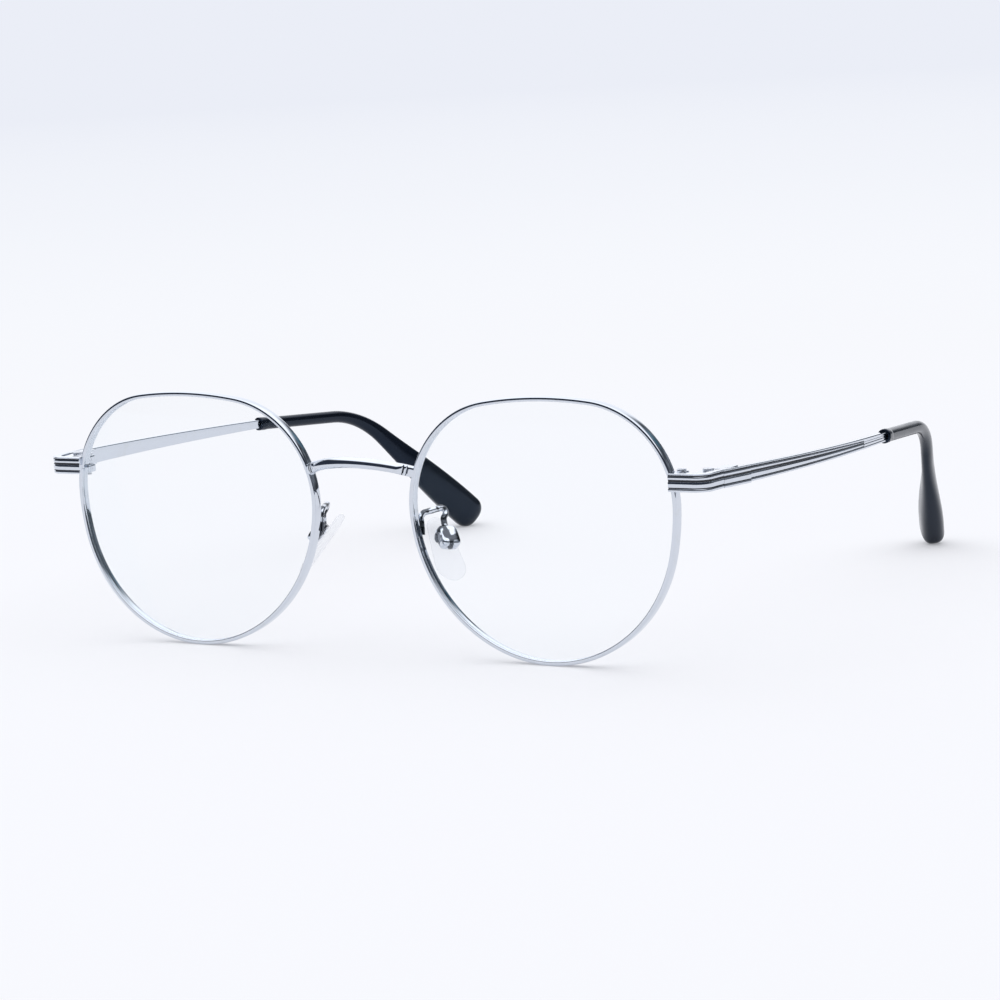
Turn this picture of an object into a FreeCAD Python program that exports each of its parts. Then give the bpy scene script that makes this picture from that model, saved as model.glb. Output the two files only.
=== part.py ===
import FreeCAD, Part
import math
import os

import Sketcher

# Round wire eyeglasses, standing open on a table: +X is the wearer's left, +Y points back along the
# temples and +Z is up. Everything is drawn with the lens fronts at y = 0 and then moved forward so
# that the origin is the middle of the footprint. Left pieces are drawn; right pieces are mirrored.

Vector = FreeCAD.Vector
doc = FreeCAD.newDocument("eyeglasses")

DIMENSIONS = [
    # whole frame
    ("half_spacing", 35.0, "half the distance between the lens centres"),
    ("origin_depth", 61.95, "distance from the lens fronts back to the middle of the footprint"),
    # eyewire outline: arcs that meet tangent at these normal angles, counted from the temple side
    ("lower_side_radius", 39.9, "short arc below the endpiece"),
    ("upper_side_radius", 17.45, "upper corner at the temple side"),
    ("upper_nose_radius", 18.6, "upper corner at the nose side"),
    ("bottom_radius", 24.6, "round bottom"),
    ("lower_side_start", -12.4, "angle where the lower side arc starts"),
    ("upper_side_start", -1.3, "angle where the upper side corner starts"),
    ("top_start", 83.0, "angle where the flat top starts"),
    ("upper_nose_start", 99.3, "angle where the upper nose corner starts"),
    ("lower_nose_start", 185.4, "angle where the lower nose arc starts"),
    ("bottom_start", 250.2, "angle where the bottom arc starts"),
    # eyewire and lens sections
    ("face_radius", 240.0, "radius of the lens front, about a two diopter base curve"),
    ("wire_width", 0.75, "eyewire seen from the front"),
    ("wire_depth", 1.85, "eyewire from front to back"),
    ("groove_depth", 0.35, "groove that holds the lens bevel"),
    ("groove_width", 0.7, "front to back width of the groove"),
    ("lens_thickness", 1.5, "lens from front to back"),
    ("lens_gap", 0.02, "slack between lens and eyewire"),
    ("slit_height", 31.5, "height of the eyewire's slit above the table"),
    ("slit_width", 0.3, "width of the slit that the closing screw pulls shut"),
    ("slit_start", 55.0, "inner end of the slit's cutting box, inside the temple side of the eyewire"),
    ("slit_cut", 12.0, "length and depth of the slit's cutting box"),
    ("column_long", 8.0, "length of the columns that the eyewire and lens are cut from"),
    # bridge
    ("bridge_half_span", 10.55, "half the distance between the bridge's ends"),
    ("bridge_end_height", 31.9, "height of the bridge's ends"),
    ("bridge_rise", 2.0, "rise of the arch"),
    ("bridge_end_depth", 2.2, "depth of the bridge's ends behind the lens fronts"),
    ("bridge_bulge", 3.7, "how far the arch bows forward"),
    ("bridge_tall", 1.9, "height of the bridge bar"),
    ("bridge_thick", 1.65, "front to back size of the bridge bar"),
    # endpiece
    ("end_start", 59.5, "inner end of the endpiece, on the eyewire"),
    ("end_front", 0.65, "front of the endpiece's ridges"),
    ("end_thick", 1.5, "thickness of the endpiece bar"),
    ("end_bottom", 30.1, "underside of the endpiece"),
    ("end_tall", 3.0, "height of the endpiece"),
    ("ridge_depth", 0.24, "depth of the valleys between the ridges"),
    ("end_bend", 2.0, "middle radius of the corner bend"),
    ("joint_x", 66.3, "middle of the butt joint between endpiece and temple"),
    ("joint_y", 6.0, "depth of the butt joint"),
    ("joint_gap", 0.05, "gap in the butt joint"),
    ("splay", 7.9, "outward angle of the temple where it starts"),
    # hinge
    ("pivot_x", 64.0, "hinge axis"),
    ("pivot_y", 6.5, "hinge axis"),
    ("knuckle_radius", 1.15, "outside of the hinge barrel"),
    ("knuckle_bottom", 30.2, "underside of the hinge barrel"),
    ("knuckle_tall", 0.88, "height of each of the three knuckles"),
    ("knuckle_gap", 0.03, "gap between knuckles"),
    ("front_leaf_x", 63.0, "inner side of the endpiece's hinge leaf"),
    ("front_leaf_y", 1.7, "front of the endpiece's hinge leaf"),
    ("front_leaf_wide", 2.7, "endpiece's hinge leaf from side to side"),
    ("front_leaf_back", 5.15, "rear of the endpiece's hinge leaf"),
    ("front_arm_start", 5.0, "front of the two arms that carry the outer knuckles"),
    ("front_arm_wide", 2.15, "side to side size of those arms"),
    ("rear_leaf_x", 64.2, "inner side of the temple's hinge leaf"),
    ("rear_leaf_y", 7.85, "front of the temple's hinge leaf"),
    ("rear_leaf_wide", 2.4, "temple's hinge leaf from side to side before it is fitted to the blade"),
    ("rear_arm_x", 63.4, "inner side of the arm that carries the middle knuckle"),
    ("rear_arm_wide", 2.0, "side to side size of that arm"),
    ("rear_arm_end", 8.3, "rear of that arm"),
    ("hinge_head_radius", 0.95, "head of the hinge screw"),
    ("hinge_head_tall", 0.3, "height of the hinge screw's head"),
    ("bore_margin", 2.0, "how far a drill passes beyond the metal"),
    ("hinge_pin_radius", 0.6, "shank of the hinge screw"),
    ("running_gap", 0.03, "radial slack of a bore that turns on its screw"),
    ("fixed_gap", 0.01, "radial slack of a bore that is clamped on its screw"),
    ("leaf_end", 12.0, "rear end of the temple's hinge leaf"),
    # closing block behind the eyewire
    ("block_x", 60.2, "middle of the closing block"),
    ("block_wide", 2.2, "closing block from side to side"),
    ("block_front", 3.15, "front of the closing block where it backs the eyewire"),
    ("block_side_x", 60.35, "inner side of the part that reaches forward beside the eyewire"),
    ("block_side_front", 1.7, "front of the part that reaches forward beside the eyewire"),
    ("block_back", 5.4, "rear of the closing block"),
    ("block_top", 33.0, "top of the upper closing block"),
    ("block_bottom", 30.0, "underside of the lower closing block"),
    ("closing_pin_radius", 0.45, "shank of the closing screw"),
    ("closing_pin_y", 4.4, "axis of the closing screw"),
    ("closing_pin_bottom", 29.5, "lower end of the closing screw"),
    ("closing_pin_long", 3.5, "closing screw under its head"),
    ("closing_head_radius", 0.8, "head of the closing screw"),
    ("closing_head_tall", 0.35, "height of the closing screw's head"),
    ("slot_width", 0.3, "width of the screwdriver slots"),
    # temple
    ("bow_radius", 273.0, "bow of the temple seen from above"),
    ("temple_thick", 1.15, "thickness of the temple blade"),
    ("temple_tall", 3.0, "height of the blade at the joint"),
    ("temple_middle", 31.55, "middle height of the blade at the joint"),
    ("tip_start", 69.0, "depth where the black tip starts"),
    ("tip_start_tall", 1.7, "height of the blade at the tip"),
    ("tip_start_middle", 29.3, "middle height of the blade at the tip"),
    ("plate_end", 14.0, "rear end of the ridged temple plate"),
    ("plate_thick", 0.5, "thickness of the ridged plate"),
    ("line_end", 57.2, "rear end of the engraved lines"),
    ("line_depth", 0.16, "depth of the engraved lines"),
    ("line_wide", 0.24, "width of the engraved lines"),
    ("line_overrun", 1.0, "how far the engraving cutter starts under the plate"),
    ("strip_tall", 60.0, "height of the block that the blade's plan is cut from"),
    ("strip_deep", 80.0, "length of the block that the blade's side view is cut from"),
    # core wire and tip
    ("core_overlap", 1.5, "how far the core wire reaches into the blade"),
    ("core_short", 9.0, "how far before the middle of the tip's end the core wire stops"),
    ("core_size", 1.1, "side of the square core wire inside the tip"),
    ("bend_x", 62.91, "corner of the ear bend"),
    ("bend_y", 98.56, "corner of the ear bend"),
    ("bend_z", 27.11, "corner of the ear bend"),
    ("bend_radius", 22.0, "radius of the ear bend"),
    ("tip_x", 53.1, "middle of the tip's end"),
    ("tip_y", 122.96, "middle of the tip's end"),
    ("tip_z", 3.27, "middle of the tip's end"),
    ("tip_round", 3.04, "length of the rounded end of the tip"),
    ("tip_tall", 2.4, "height of the tip where it starts and in the ear bend"),
    ("tip_thick", 2.2, "thickness of the tip where it starts and in the ear bend"),
    ("paddle_tall", 6.88, "height of the paddle at the tip's end"),
    ("paddle_thick", 4.57, "thickness of the paddle at the tip's end"),
    ("paddle_twist", 30.4, "turn of the paddle about its length, away from the plane of the bend"),
    # nose pad
    ("pad_down_x", 0.49, "direction down along the pad"),
    ("pad_down_y", -0.38, "direction down along the pad"),
    ("pad_down_z", -0.76, "direction down along the pad"),
    ("pad_face_x", -0.76, "direction that the pad's face looks"),
    ("pad_face_y", 0.26, "direction that the pad's face looks"),
    ("pad_face_z", -0.61, "direction that the pad's face looks"),
    ("pad_x", 12.5, "middle of the nose pad"),
    ("pad_y", 7.25, "middle of the nose pad"),
    ("pad_z", 17.9, "middle of the nose pad"),
    ("pad_long", 12.8, "length of the nose pad"),
    ("pad_wide", 6.4, "width of the nose pad"),
    ("pad_thick", 1.3, "thickness of the nose pad"),
    ("pad_round", 0.55, "rounding of the nose pad's edges"),
    ("box_along", 1.2, "how far the pad box sits above the pad's middle"),
    ("box_long", 3.6, "pad box along the pad"),
    ("box_wide", 3.4, "pad box across the pad"),
    ("box_tall", 1.8, "pad box front to back"),
    ("box_lift", 0.95, "from the pad's mid plane to the box's mouth"),
    ("box_wall", 0.55, "wall of the pad box"),
    ("box_floor", 0.3, "floor of the pad box"),
    ("box_round", 0.5, "rounding of the pad box"),
    ("lug_size", 1.8, "side of the pad's lug"),
    ("lug_below", 0.55, "lug below the pad screw's axis"),
    ("pad_pin_radius", 0.4, "shank of the pad screw"),
    ("pad_pin_lift", 1.75, "from the pad's mid plane to the pad screw"),
    ("pad_pin_start", 0.3, "how far the pad screw's foot stands out of the pad box"),
    ("pad_head_radius", 0.95, "head of the pad screw"),
    ("pad_head_tall", 0.4, "height of the pad screw's head"),
    # pad arm: a wire with its foot on the eyewire and three bends
    ("arm_radius", 0.5, "radius of the pad arm wire"),
    ("arm_foot_x", 10.3, "lower end of the arm's foot"),
    ("arm_foot_y", 3.5, "lower end of the arm's foot"),
    ("arm_foot_z", 20.9, "lower end of the arm's foot"),
    ("arm_elbow_x", 10.1, "corner where the arm leaves the eyewire"),
    ("arm_elbow_y", 4.0, "corner where the arm leaves the eyewire"),
    ("arm_elbow_z", 24.5, "corner where the arm leaves the eyewire"),
    ("arm_loop_x", 12.4, "rear corner of the arm's loop"),
    ("arm_loop_y", 10.3, "rear corner of the arm's loop"),
    ("arm_loop_z", 25.0, "rear corner of the arm's loop"),
    ("arm_dip_x", 12.3, "corner where the arm turns down to the pad box"),
    ("arm_dip_y", 7.7, "corner where the arm turns down to the pad box"),
    ("arm_dip_z", 23.2, "corner where the arm turns down to the pad box"),
    ("arm_elbow_radius", 1.2, "bend at the elbow"),
    ("arm_loop_radius", 0.75, "bend at the rear of the loop"),
    ("arm_dip_radius", 0.7, "bend above the pad box"),
    ("arm_sunk", 0.15, "how far the arm is sunk into the pad box"),
]

sheet = doc.addObject("Spreadsheet::Sheet", "Dims")
for row, (alias, size, meaning) in enumerate(DIMENSIONS, start=1):
    sheet.set(f"A{row}", alias)
    sheet.set(f"B{row}", str(size))
    sheet.set(f"C{row}", meaning)
    sheet.setAlias(f"B{row}", alias)
doc.recompute()

UP = Vector(0, 0, 1)
BACK = Vector(0, 1, 0)
nodes = []


def dim(alias):
    """The value of one cell of the sheet."""
    return float(getattr(sheet, alias))


def cells(expression):
    """An expression in which every cell's alias gets the sheet's name in front of it."""
    words = []
    word = ""
    for letter in expression + " ":
        if letter.isalnum() or letter == "_":
            word += letter
            continue
        words.append("Dims." + word if word in ALIASES else word)
        words.append(letter)
        word = ""
    return "".join(words).strip()


ALIASES = {alias for alias, _, _ in DIMENSIONS}


def worth(expression):
    """The number that an expression over the sheet gives now."""
    result = sheet.evalExpression(cells(expression))
    return float(getattr(result, "Value", result))


def bind(thing, **properties):
    """Bind properties to expressions; a dot in a property's name is written as two underscores."""
    for name, expression in properties.items():
        thing.setExpression(name.replace("__", "."), cells(expression))


def place(thing, x="0", y="0", z="0"):
    bind(thing, Placement__Base__x=x, Placement__Base__y=y, Placement__Base__z=z)


def box(name, low, size):
    """A box from its lowest corner and its three lengths, all expressions."""
    solid = doc.addObject("Part::Box", name)
    bind(solid, Length=size[0], Width=size[1], Height=size[2])
    place(solid, *low)
    return solid


def cylinder(name, foot, radius, height, turn=None):
    """A cylinder from the middle of its foot, upright unless it is turned."""
    solid = doc.addObject("Part::Cylinder", name)
    bind(solid, Radius=radius, Height=height)
    if turn is not None:
        solid.Placement.Rotation = turn
    place(solid, *foot)
    return solid


def cut(name, base, tool):
    result = doc.addObject("Part::Cut", name)
    result.Base = base
    result.Tool = tool
    return result


def common(name, base, tool):
    result = doc.addObject("Part::Common", name)
    result.Base = base
    result.Tool = tool
    return result


def fuse(name, *pieces):
    result = doc.addObject("Part::MultiFuse", name)
    result.Shapes = list(pieces)
    result.Refine = True
    return result


def extrude(name, base, direction, length):
    """A solid from a closed outline; the length is an expression."""
    solid = doc.addObject("Part::Extrusion", name)
    solid.Base = base
    solid.DirMode = "Custom"
    solid.Dir = direction
    solid.Solid = True
    bind(solid, LengthFwd=length)
    return solid


def outline(name, turn, corners):
    """A closed sketch through corners given as pairs of expressions. turn maps it into space."""
    sketch = doc.addObject("Sketcher::SketchObject", name)
    sketch.Placement.Rotation = turn
    points = [Vector(worth(x), worth(y), 0) for x, y in corners]
    for i, point in enumerate(points):
        sketch.addGeometry(Part.LineSegment(point, points[(i + 1) % len(points)]), False)
    for i, (x, y) in enumerate(corners):
        last = (i - 1) % len(points)
        sketch.addConstraint(Sketcher.Constraint("Coincident", last, 2, i, 1))
        for kind, expression in (("DistanceX", x), ("DistanceY", y)):
            index = sketch.addConstraint(Sketcher.Constraint(kind, -1, 1, i, 1, worth(expression)))
            sketch.setExpression(f"Constraints[{index}]", cells(expression))
    return sketch


# sketch planes: the sketch's x and y as directions in space
FRONT_VIEW = FreeCAD.Rotation(Vector(1, 0, 0), 90)
SIDE_VIEW = FreeCAD.Rotation(Vector(0, 1, 0), UP, Vector(1, 0, 0), "ZXY")


def keep(thing, label):
    """Name a finished piece."""
    thing.Label = label
    nodes.append(thing)
    return thing


def mirror(thing, label):
    """The right hand twin of a finished left hand piece."""
    twin = doc.addObject("Part::Mirroring", label)
    twin.Source = thing
    twin.Base = Vector(0, 0, 0)
    twin.Normal = Vector(1, 0, 0)
    return keep(twin, label)


# ---------------------------------------------------------------- eyewire outline
ARCS = [
    ("lower_side_radius", "lower_side_start"),
    ("upper_side_radius", "upper_side_start"),
    (None, "top_start"),
    ("upper_nose_radius", "upper_nose_start"),
    (None, "lower_nose_start"),
    ("bottom_radius", "bottom_start"),
]


def closed_arcs():
    """Centre, radius and angles of the outline's arcs. The top and lower nose radii close the loop."""
    starts = [math.radians(dim(start)) for _, start in ARCS]
    ends = starts[1:] + [starts[0] + 2 * math.pi]
    steps = [(math.cos(b) - math.cos(a), math.sin(b) - math.sin(a)) for a, b in zip(starts, ends)]
    radii = [dim(alias) if alias else None for alias, _ in ARCS]
    open_x = -sum(r * s[0] for r, s in zip(radii, steps) if r is not None)
    open_y = -sum(r * s[1] for r, s in zip(radii, steps) if r is not None)
    first, second = [i for i, r in enumerate(radii) if r is None]
    (ax, ay), (bx, by) = steps[first], steps[second]
    spin = ax * by - ay * bx
    radii[first] = (open_x * by - open_y * bx) / spin
    radii[second] = (ax * open_y - ay * open_x) / spin
    centres = [Vector(0, 0, 0)]
    for i in range(1, len(radii)):
        slide = radii[i - 1] - radii[i]
        normal = Vector(math.cos(starts[i]), math.sin(starts[i]), 0)
        centres.append(centres[-1] + normal * slide)
    right = centres[1].x + radii[1]
    left = centres[3].x - radii[3]
    top = centres[2].y + radii[2]
    bottom = centres[5].y - radii[5]
    middle = Vector((right + left) / 2, (top + bottom) / 2, 0)
    arcs = [(c - middle, r, a, b) for c, r, a, b in zip(centres, radii, starts, ends)]
    return arcs, top - bottom


eyewire_arcs, rim_tall = closed_arcs()
ALIASES.add("lens_centre_z")
sheet.set(f"A{len(DIMENSIONS) + 1}", "lens_centre_z")
sheet.set(f"B{len(DIMENSIONS) + 1}", str(rim_tall / 2))
sheet.set(f"C{len(DIMENSIONS) + 1}", "height of the lens centre when the eyewire stands on the table")
sheet.setAlias(f"B{len(DIMENSIONS) + 1}", "lens_centre_z")
doc.recompute()

rim_outline = doc.addObject("Sketcher::SketchObject", "rim_outline")
rim_outline.Placement.Rotation = FRONT_VIEW
place(rim_outline, x="half_spacing", z="lens_centre_z")
for centre, radius, start, end in eyewire_arcs:
    rim_outline.addGeometry(Part.ArcOfCircle(Part.Circle(centre, UP, radius), start, end), False)
for i, (alias, _) in enumerate(ARCS):
    rim_outline.addConstraint(Sketcher.Constraint("Tangent", i, 2, (i + 1) % len(ARCS), 1))
    if alias:
        index = rim_outline.addConstraint(Sketcher.Constraint("Radius", i, dim(alias)))
        rim_outline.setExpression(f"Constraints[{index}]", cells(alias))
for i in range(len(ARCS) - 1):
    span = f"{ARCS[i + 1][1]} - {ARCS[i][1]}"
    index = rim_outline.addConstraint(Sketcher.Constraint("Angle", i, math.radians(worth(span))))
    rim_outline.setExpression(f"Constraints[{index}]", cells(f"({span}) * 1 deg"))
bottom_centre = eyewire_arcs[5][0]
rim_outline.addConstraint(Sketcher.Constraint("DistanceX", -1, 1, 5, 3, bottom_centre.x))
rim_outline.addConstraint(Sketcher.Constraint("DistanceY", -1, 1, 5, 3, bottom_centre.y))


def offset(name, inset):
    """The eyewire outline moved inward by an expression."""
    inner = doc.addObject("Part::Offset2D", name)
    inner.Source = rim_outline
    inner.Join = "Intersection"
    bind(inner, Value=f"-({inset})")
    return inner


def ball(name, depth):
    """The solid ball whose front lies a depth behind the lens front."""
    solid = doc.addObject("Part::Sphere", name)
    bind(solid, Radius=f"face_radius - ({depth})")
    place(solid, "half_spacing", "face_radius", "lens_centre_z")
    return solid


def dished(name, base, front, back):
    """The outline's solid between two depths behind the dished lens front."""
    column = extrude(name + "_column", base, BACK, "column_long")
    shell = common(name + "_front", column, ball(name + "_outside", front))
    return cut(name, shell, ball(name + "_inside", back))


MIDDLE = "wire_depth / 2"
rim_full = dished("rim_full", rim_outline, "0", "wire_depth")
rim_hole = extrude("rim_hole", offset("rim_inner", "wire_width"), BACK, "column_long")
groove = dished(
    "groove",
    offset("groove_outline", "wire_width - groove_depth"),
    f"{MIDDLE} - groove_width / 2",
    f"{MIDDLE} + groove_width / 2",
)
lens_body = dished(
    "lens_body",
    offset("lens_outline", "wire_width + lens_gap"),
    f"{MIDDLE} - lens_thickness / 2",
    f"{MIDDLE} + lens_thickness / 2",
)
lens_bevel = dished(
    "lens_bevel",
    offset("bevel_outline", "wire_width - groove_depth + lens_gap"),
    f"{MIDDLE} - groove_width / 2 + lens_gap",
    f"{MIDDLE} + groove_width / 2 - lens_gap",
)
rim_band = cut("rim_band", rim_full, rim_hole)
rim_ring = cut("rim_ring", rim_band, groove)
slit = box(
    "slit",
    ("slit_start", "-wire_depth", "slit_height - slit_width / 2"),
    ("slit_cut", "slit_cut", "slit_width"),
)
keep(cut("rim_solid", rim_ring, slit), "rim_left")
keep(fuse("lens_solid", lens_body, lens_bevel), "lens_left")


# ---------------------------------------------------------------- paths in space
def rounded_path(name, corners, radii):
    """A wire of straight runs through corners, with a tangent arc of a given radius at each inner one."""
    edges = []
    start = corners[0]
    for before, corner, after, radius in zip(corners, corners[1:], corners[2:], radii):
        arriving = (corner - before).normalize()
        leaving = (after - corner).normalize()
        turn = arriving.getAngle(leaving)
        reach = radius * math.tan(turn / 2)
        sagging = radius / math.cos(turn / 2) - radius
        inward = (leaving - arriving).normalize()
        enter = corner - arriving * reach
        leave = corner + leaving * reach
        edges.append(Part.LineSegment(start, enter).toShape())
        edges.append(Part.Arc(enter, corner + inward * sagging, leave).toShape())
        start = leave
    edges.append(Part.LineSegment(start, corners[-1]).toShape())
    path = doc.addObject("Part::Feature", name)
    path.Shape = Part.Wire(edges)
    return path


def sweep(name, section, path):
    """The solid that a closed section makes along a path."""
    solid = doc.addObject("Part::Sweep", name)
    solid.Sections = [section]
    solid.Spine = (path, [f"Edge{i + 1}" for i in range(len(path.Shape.Edges))])
    solid.Solid = True
    solid.Frenet = False
    return solid


def across(direction, tall=UP):
    """The turn that lays a flat section across a direction, with its x axis as near tall as it can be."""
    return FreeCAD.Rotation(tall, Vector(0, 0, 0), direction, "ZXY")


# ---------------------------------------------------------------- bridge
def bridge_point(side, rise, bulge):
    return Vector(
        side * dim("bridge_half_span"),
        dim("bridge_end_depth") - bulge * dim("bridge_bulge"),
        dim("bridge_end_height") + rise * dim("bridge_rise"),
    )


bridge_path = doc.addObject("Part::Feature", "bridge_path")
bridge_arc = Part.Arc(bridge_point(-1, 0, 0), bridge_point(0, 1, 1), bridge_point(1, 0, 0))
bridge_path.Shape = Part.Wire(bridge_arc.toShape())
bridge_section = doc.addObject("Part::Ellipse", "bridge_section")
bind(bridge_section, MajorRadius="bridge_tall / 2", MinorRadius="bridge_thick / 2")
bridge_start = bridge_arc.tangent(bridge_arc.FirstParameter)[0]
bridge_section.Placement = FreeCAD.Placement(bridge_point(-1, 0, 0), across(bridge_start))
bridge_bar = sweep("bridge_bar", bridge_section, bridge_path)
rim_band_right = doc.addObject("Part::Mirroring", "rim_band_right")
rim_band_right.Source = rim_band
rim_band_right.Normal = Vector(1, 0, 0)
keep(cut("bridge_solid", cut("bridge_left_end", bridge_bar, rim_band), rim_band_right), "bridge")

# ---------------------------------------------------------------- endpiece
# the valleys between the ridges, as shares of the way up
RIDGE_SHARES = (0, 0.2, 0.6, 0.88, 1)
splay = math.radians(dim("splay"))
joint = Vector(dim("joint_x"), dim("joint_y"), 0)
leaving = Vector(math.sin(splay), math.cos(splay), 0)


def origin_plane(body, role):
    return next(plane for plane in body.Origin.OriginFeatures if plane.Role == role)


def ridged_profile(sketch, front, thick, bottom, tall):
    """Four rounded ridges on the front of a bar, drawn in a (depth, height) plane."""
    valley = front + dim("ridge_depth")
    heights = [bottom + tall * share for share in RIDGE_SHARES]
    for low, high in zip(heights, heights[1:]):
        ridge = Part.Arc(
            Vector(valley, high, 0), Vector(front, (low + high) / 2, 0), Vector(valley, low, 0)
        )
        sketch.addGeometry(ridge, False)
    back = front + thick
    corners = [(valley, heights[0]), (back, heights[0]), (back, heights[-1]), (valley, heights[-1])]
    for a, b in zip(corners, corners[1:]):
        sketch.addGeometry(Part.LineSegment(Vector(*a, 0), Vector(*b, 0)), False)


bar_middle = dim("end_front") + dim("end_thick") / 2
bar_corner = Vector(joint.x - (joint.y - bar_middle) * math.tan(splay), bar_middle, 0)
end_path = rounded_path(
    "end_path",
    [Vector(dim("end_start"), bar_middle, 0), bar_corner, joint],
    [dim("end_bend")],
)
end_section = doc.addObject("Sketcher::SketchObject", "end_section")
end_section.Placement.Rotation = SIDE_VIEW
place(end_section, x="end_start")
ridged_profile(end_section, dim("end_front"), dim("end_thick"), dim("end_bottom"), dim("end_tall"))
end_bar = sweep("end_bar", end_section, end_path)
keep(cut("end_solid", end_bar, rim_band), "endpiece_left")

# ---------------------------------------------------------------- closing block and its screw
def closing_block(name, bottom, top):
    """Half a closing block: brazed to the eyewire's back and, beside it, to its outer side."""
    tall = f"{top} - ({bottom})"
    inner_side = "block_x - block_wide / 2"
    behind = box(
        f"{name}_behind",
        (inner_side, "block_front", bottom),
        ("block_wide", "block_back - block_front", tall),
    )
    beside = box(
        f"{name}_beside",
        ("block_side_x", "block_side_front", bottom),
        ("block_x + block_wide / 2 - block_side_x", "block_back - block_side_front", tall),
    )
    return fuse(name, behind, beside)


upper_block = closing_block("upper_block", "slit_height + slit_width / 2", "block_top")
lower_block = closing_block("lower_block", "block_bottom", "slit_height - slit_width / 2")
closing_bore = cylinder(
    "closing_bore",
    ("block_x", "closing_pin_y", "block_bottom - bore_margin"),
    "closing_pin_radius + fixed_gap",
    "block_top - block_bottom + 2 * bore_margin",
)
for name, block in (("upper", upper_block), ("lower", lower_block)):
    shaped = cut(f"{name}_block_back", cut(f"{name}_block_rim", block, rim_band), end_bar)
    keep(cut(f"{name}_block_solid", shaped, closing_bore), f"closing_block_{name}_left")


def screw(name, foot, radius, length, head_radius, head_tall, turn=None):
    """A screw: shank and low head in one turned piece, with a slot across the head."""
    shank = cylinder(f"{name}_shank", foot, radius, length, turn)
    direction = UP if turn is None else turn.multVec(UP)
    start = Vector(*[worth(value) for value in foot])
    top = start + direction * worth(length)
    head = doc.addObject("Part::Cylinder", f"{name}_head")
    bind(head, Radius=head_radius, Height=head_tall)
    head.Placement = FreeCAD.Placement(top, shank.Placement.Rotation)
    slot = doc.addObject("Part::Box", f"{name}_slot")
    bind(slot, Length=f"3 * ({head_radius})", Width="slot_width", Height=f"({head_tall}) / 2")
    corner = Vector(-1.5 * worth(head_radius), -dim("slot_width") / 2, worth(head_tall) / 2)
    slot.Placement = FreeCAD.Placement(top, shank.Placement.Rotation).multiply(
        FreeCAD.Placement(corner, FreeCAD.Rotation())
    )
    return cut(f"{name}_solid", fuse(f"{name}_blank", shank, head), slot)


keep(
    screw(
        "closing_screw",
        ("block_x", "closing_pin_y", "closing_pin_bottom"),
        "closing_pin_radius",
        "closing_pin_long",
        "closing_head_radius",
        "closing_head_tall",
    ),
    "closing_screw_left",
)

# ---------------------------------------------------------------- hinge
hinge_tall = "3 * knuckle_tall + 2 * knuckle_gap"
middle_bottom = "knuckle_bottom + knuckle_tall + knuckle_gap"
upper_bottom = "knuckle_bottom + 2 * (knuckle_tall + knuckle_gap)"


def hinge_bore(name, slack):
    return cylinder(
        name,
        ("pivot_x", "pivot_y", "knuckle_bottom - bore_margin"),
        f"hinge_pin_radius + {slack}",
        f"{hinge_tall} + 2 * bore_margin",
    )


def knuckle(name, bottom):
    return cylinder(name, ("pivot_x", "pivot_y", bottom), "knuckle_radius", "knuckle_tall")


front_leaf = box(
    "front_leaf",
    ("front_leaf_x", "front_leaf_y", "knuckle_bottom"),
    ("front_leaf_wide", "front_leaf_back - front_leaf_y", hinge_tall),
)
front_pieces = [front_leaf]
for name, bottom in (("lower_knuckle", "knuckle_bottom"), ("upper_knuckle", upper_bottom)):
    arm = box(
        f"{name}_arm",
        ("front_leaf_x", "front_arm_start", bottom),
        ("front_arm_wide", "pivot_y - front_arm_start", "knuckle_tall"),
    )
    front_pieces += [arm, knuckle(name, bottom)]
front_blank = cut(
    "front_hinge_bored",
    fuse("front_hinge_blank", *front_pieces),
    hinge_bore("fixed_pin_bore", "fixed_gap"),
)
keep(cut("front_hinge_solid", front_blank, end_bar), "hinge_front_left")
keep(
    screw(
        "hinge_screw",
        ("pivot_x", "pivot_y", "knuckle_bottom"),
        "hinge_pin_radius",
        hinge_tall,
        "hinge_head_radius",
        "hinge_head_tall",
    ),
    "hinge_screw_left",
)

# ---------------------------------------------------------------- temple blade
bow_x = dim("joint_x") - dim("bow_radius") * math.cos(splay)
bow_y = dim("joint_y") + dim("bow_radius") * math.sin(splay)


def bow_point(depth, side=0.0):
    """The point of the temple's bow at a depth, moved outward by side, seen from above."""
    turn = math.asin((depth - bow_y) / dim("bow_radius"))
    radius = dim("bow_radius") + side
    return Vector(bow_x + radius * math.cos(turn), bow_y + radius * math.sin(turn), 0)


def bow_band(name, inside, outside, start, end):
    """A tall block between two bows, from one depth to another."""
    sketch = doc.addObject("Sketcher::SketchObject", name + "_plan")
    ends = [math.asin((depth - bow_y) / dim("bow_radius")) for depth in (start, end)]
    centre = Vector(bow_x, bow_y, 0)
    for side in (inside, outside):
        circle = Part.Circle(centre, UP, dim("bow_radius") + side)
        sketch.addGeometry(Part.ArcOfCircle(circle, *ends), False)
    for depth in (start, end):
        edge = Part.LineSegment(bow_point(depth, inside), bow_point(depth, outside))
        sketch.addGeometry(edge, False)
    return extrude(name, sketch, UP, "strip_tall")


half_bar = dim("end_thick") / 2
blade_outside = dim("temple_thick") - half_bar
blade_start = dim("joint_y") + dim("joint_gap")
blade_plan = bow_band("blade_plan", -half_bar, blade_outside, blade_start, dim("tip_start"))


def blade_height(depth, share):
    """Height of a line on the blade, a share of the way up from its lower to its upper edge."""
    run = (depth - dim("joint_y")) / (dim("tip_start") - dim("joint_y"))
    middle = dim("temple_middle") + run * (dim("tip_start_middle") - dim("temple_middle"))
    tall = dim("temple_tall") + run * (dim("tip_start_tall") - dim("temple_tall"))
    return middle + (share - 0.5) * tall


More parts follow.
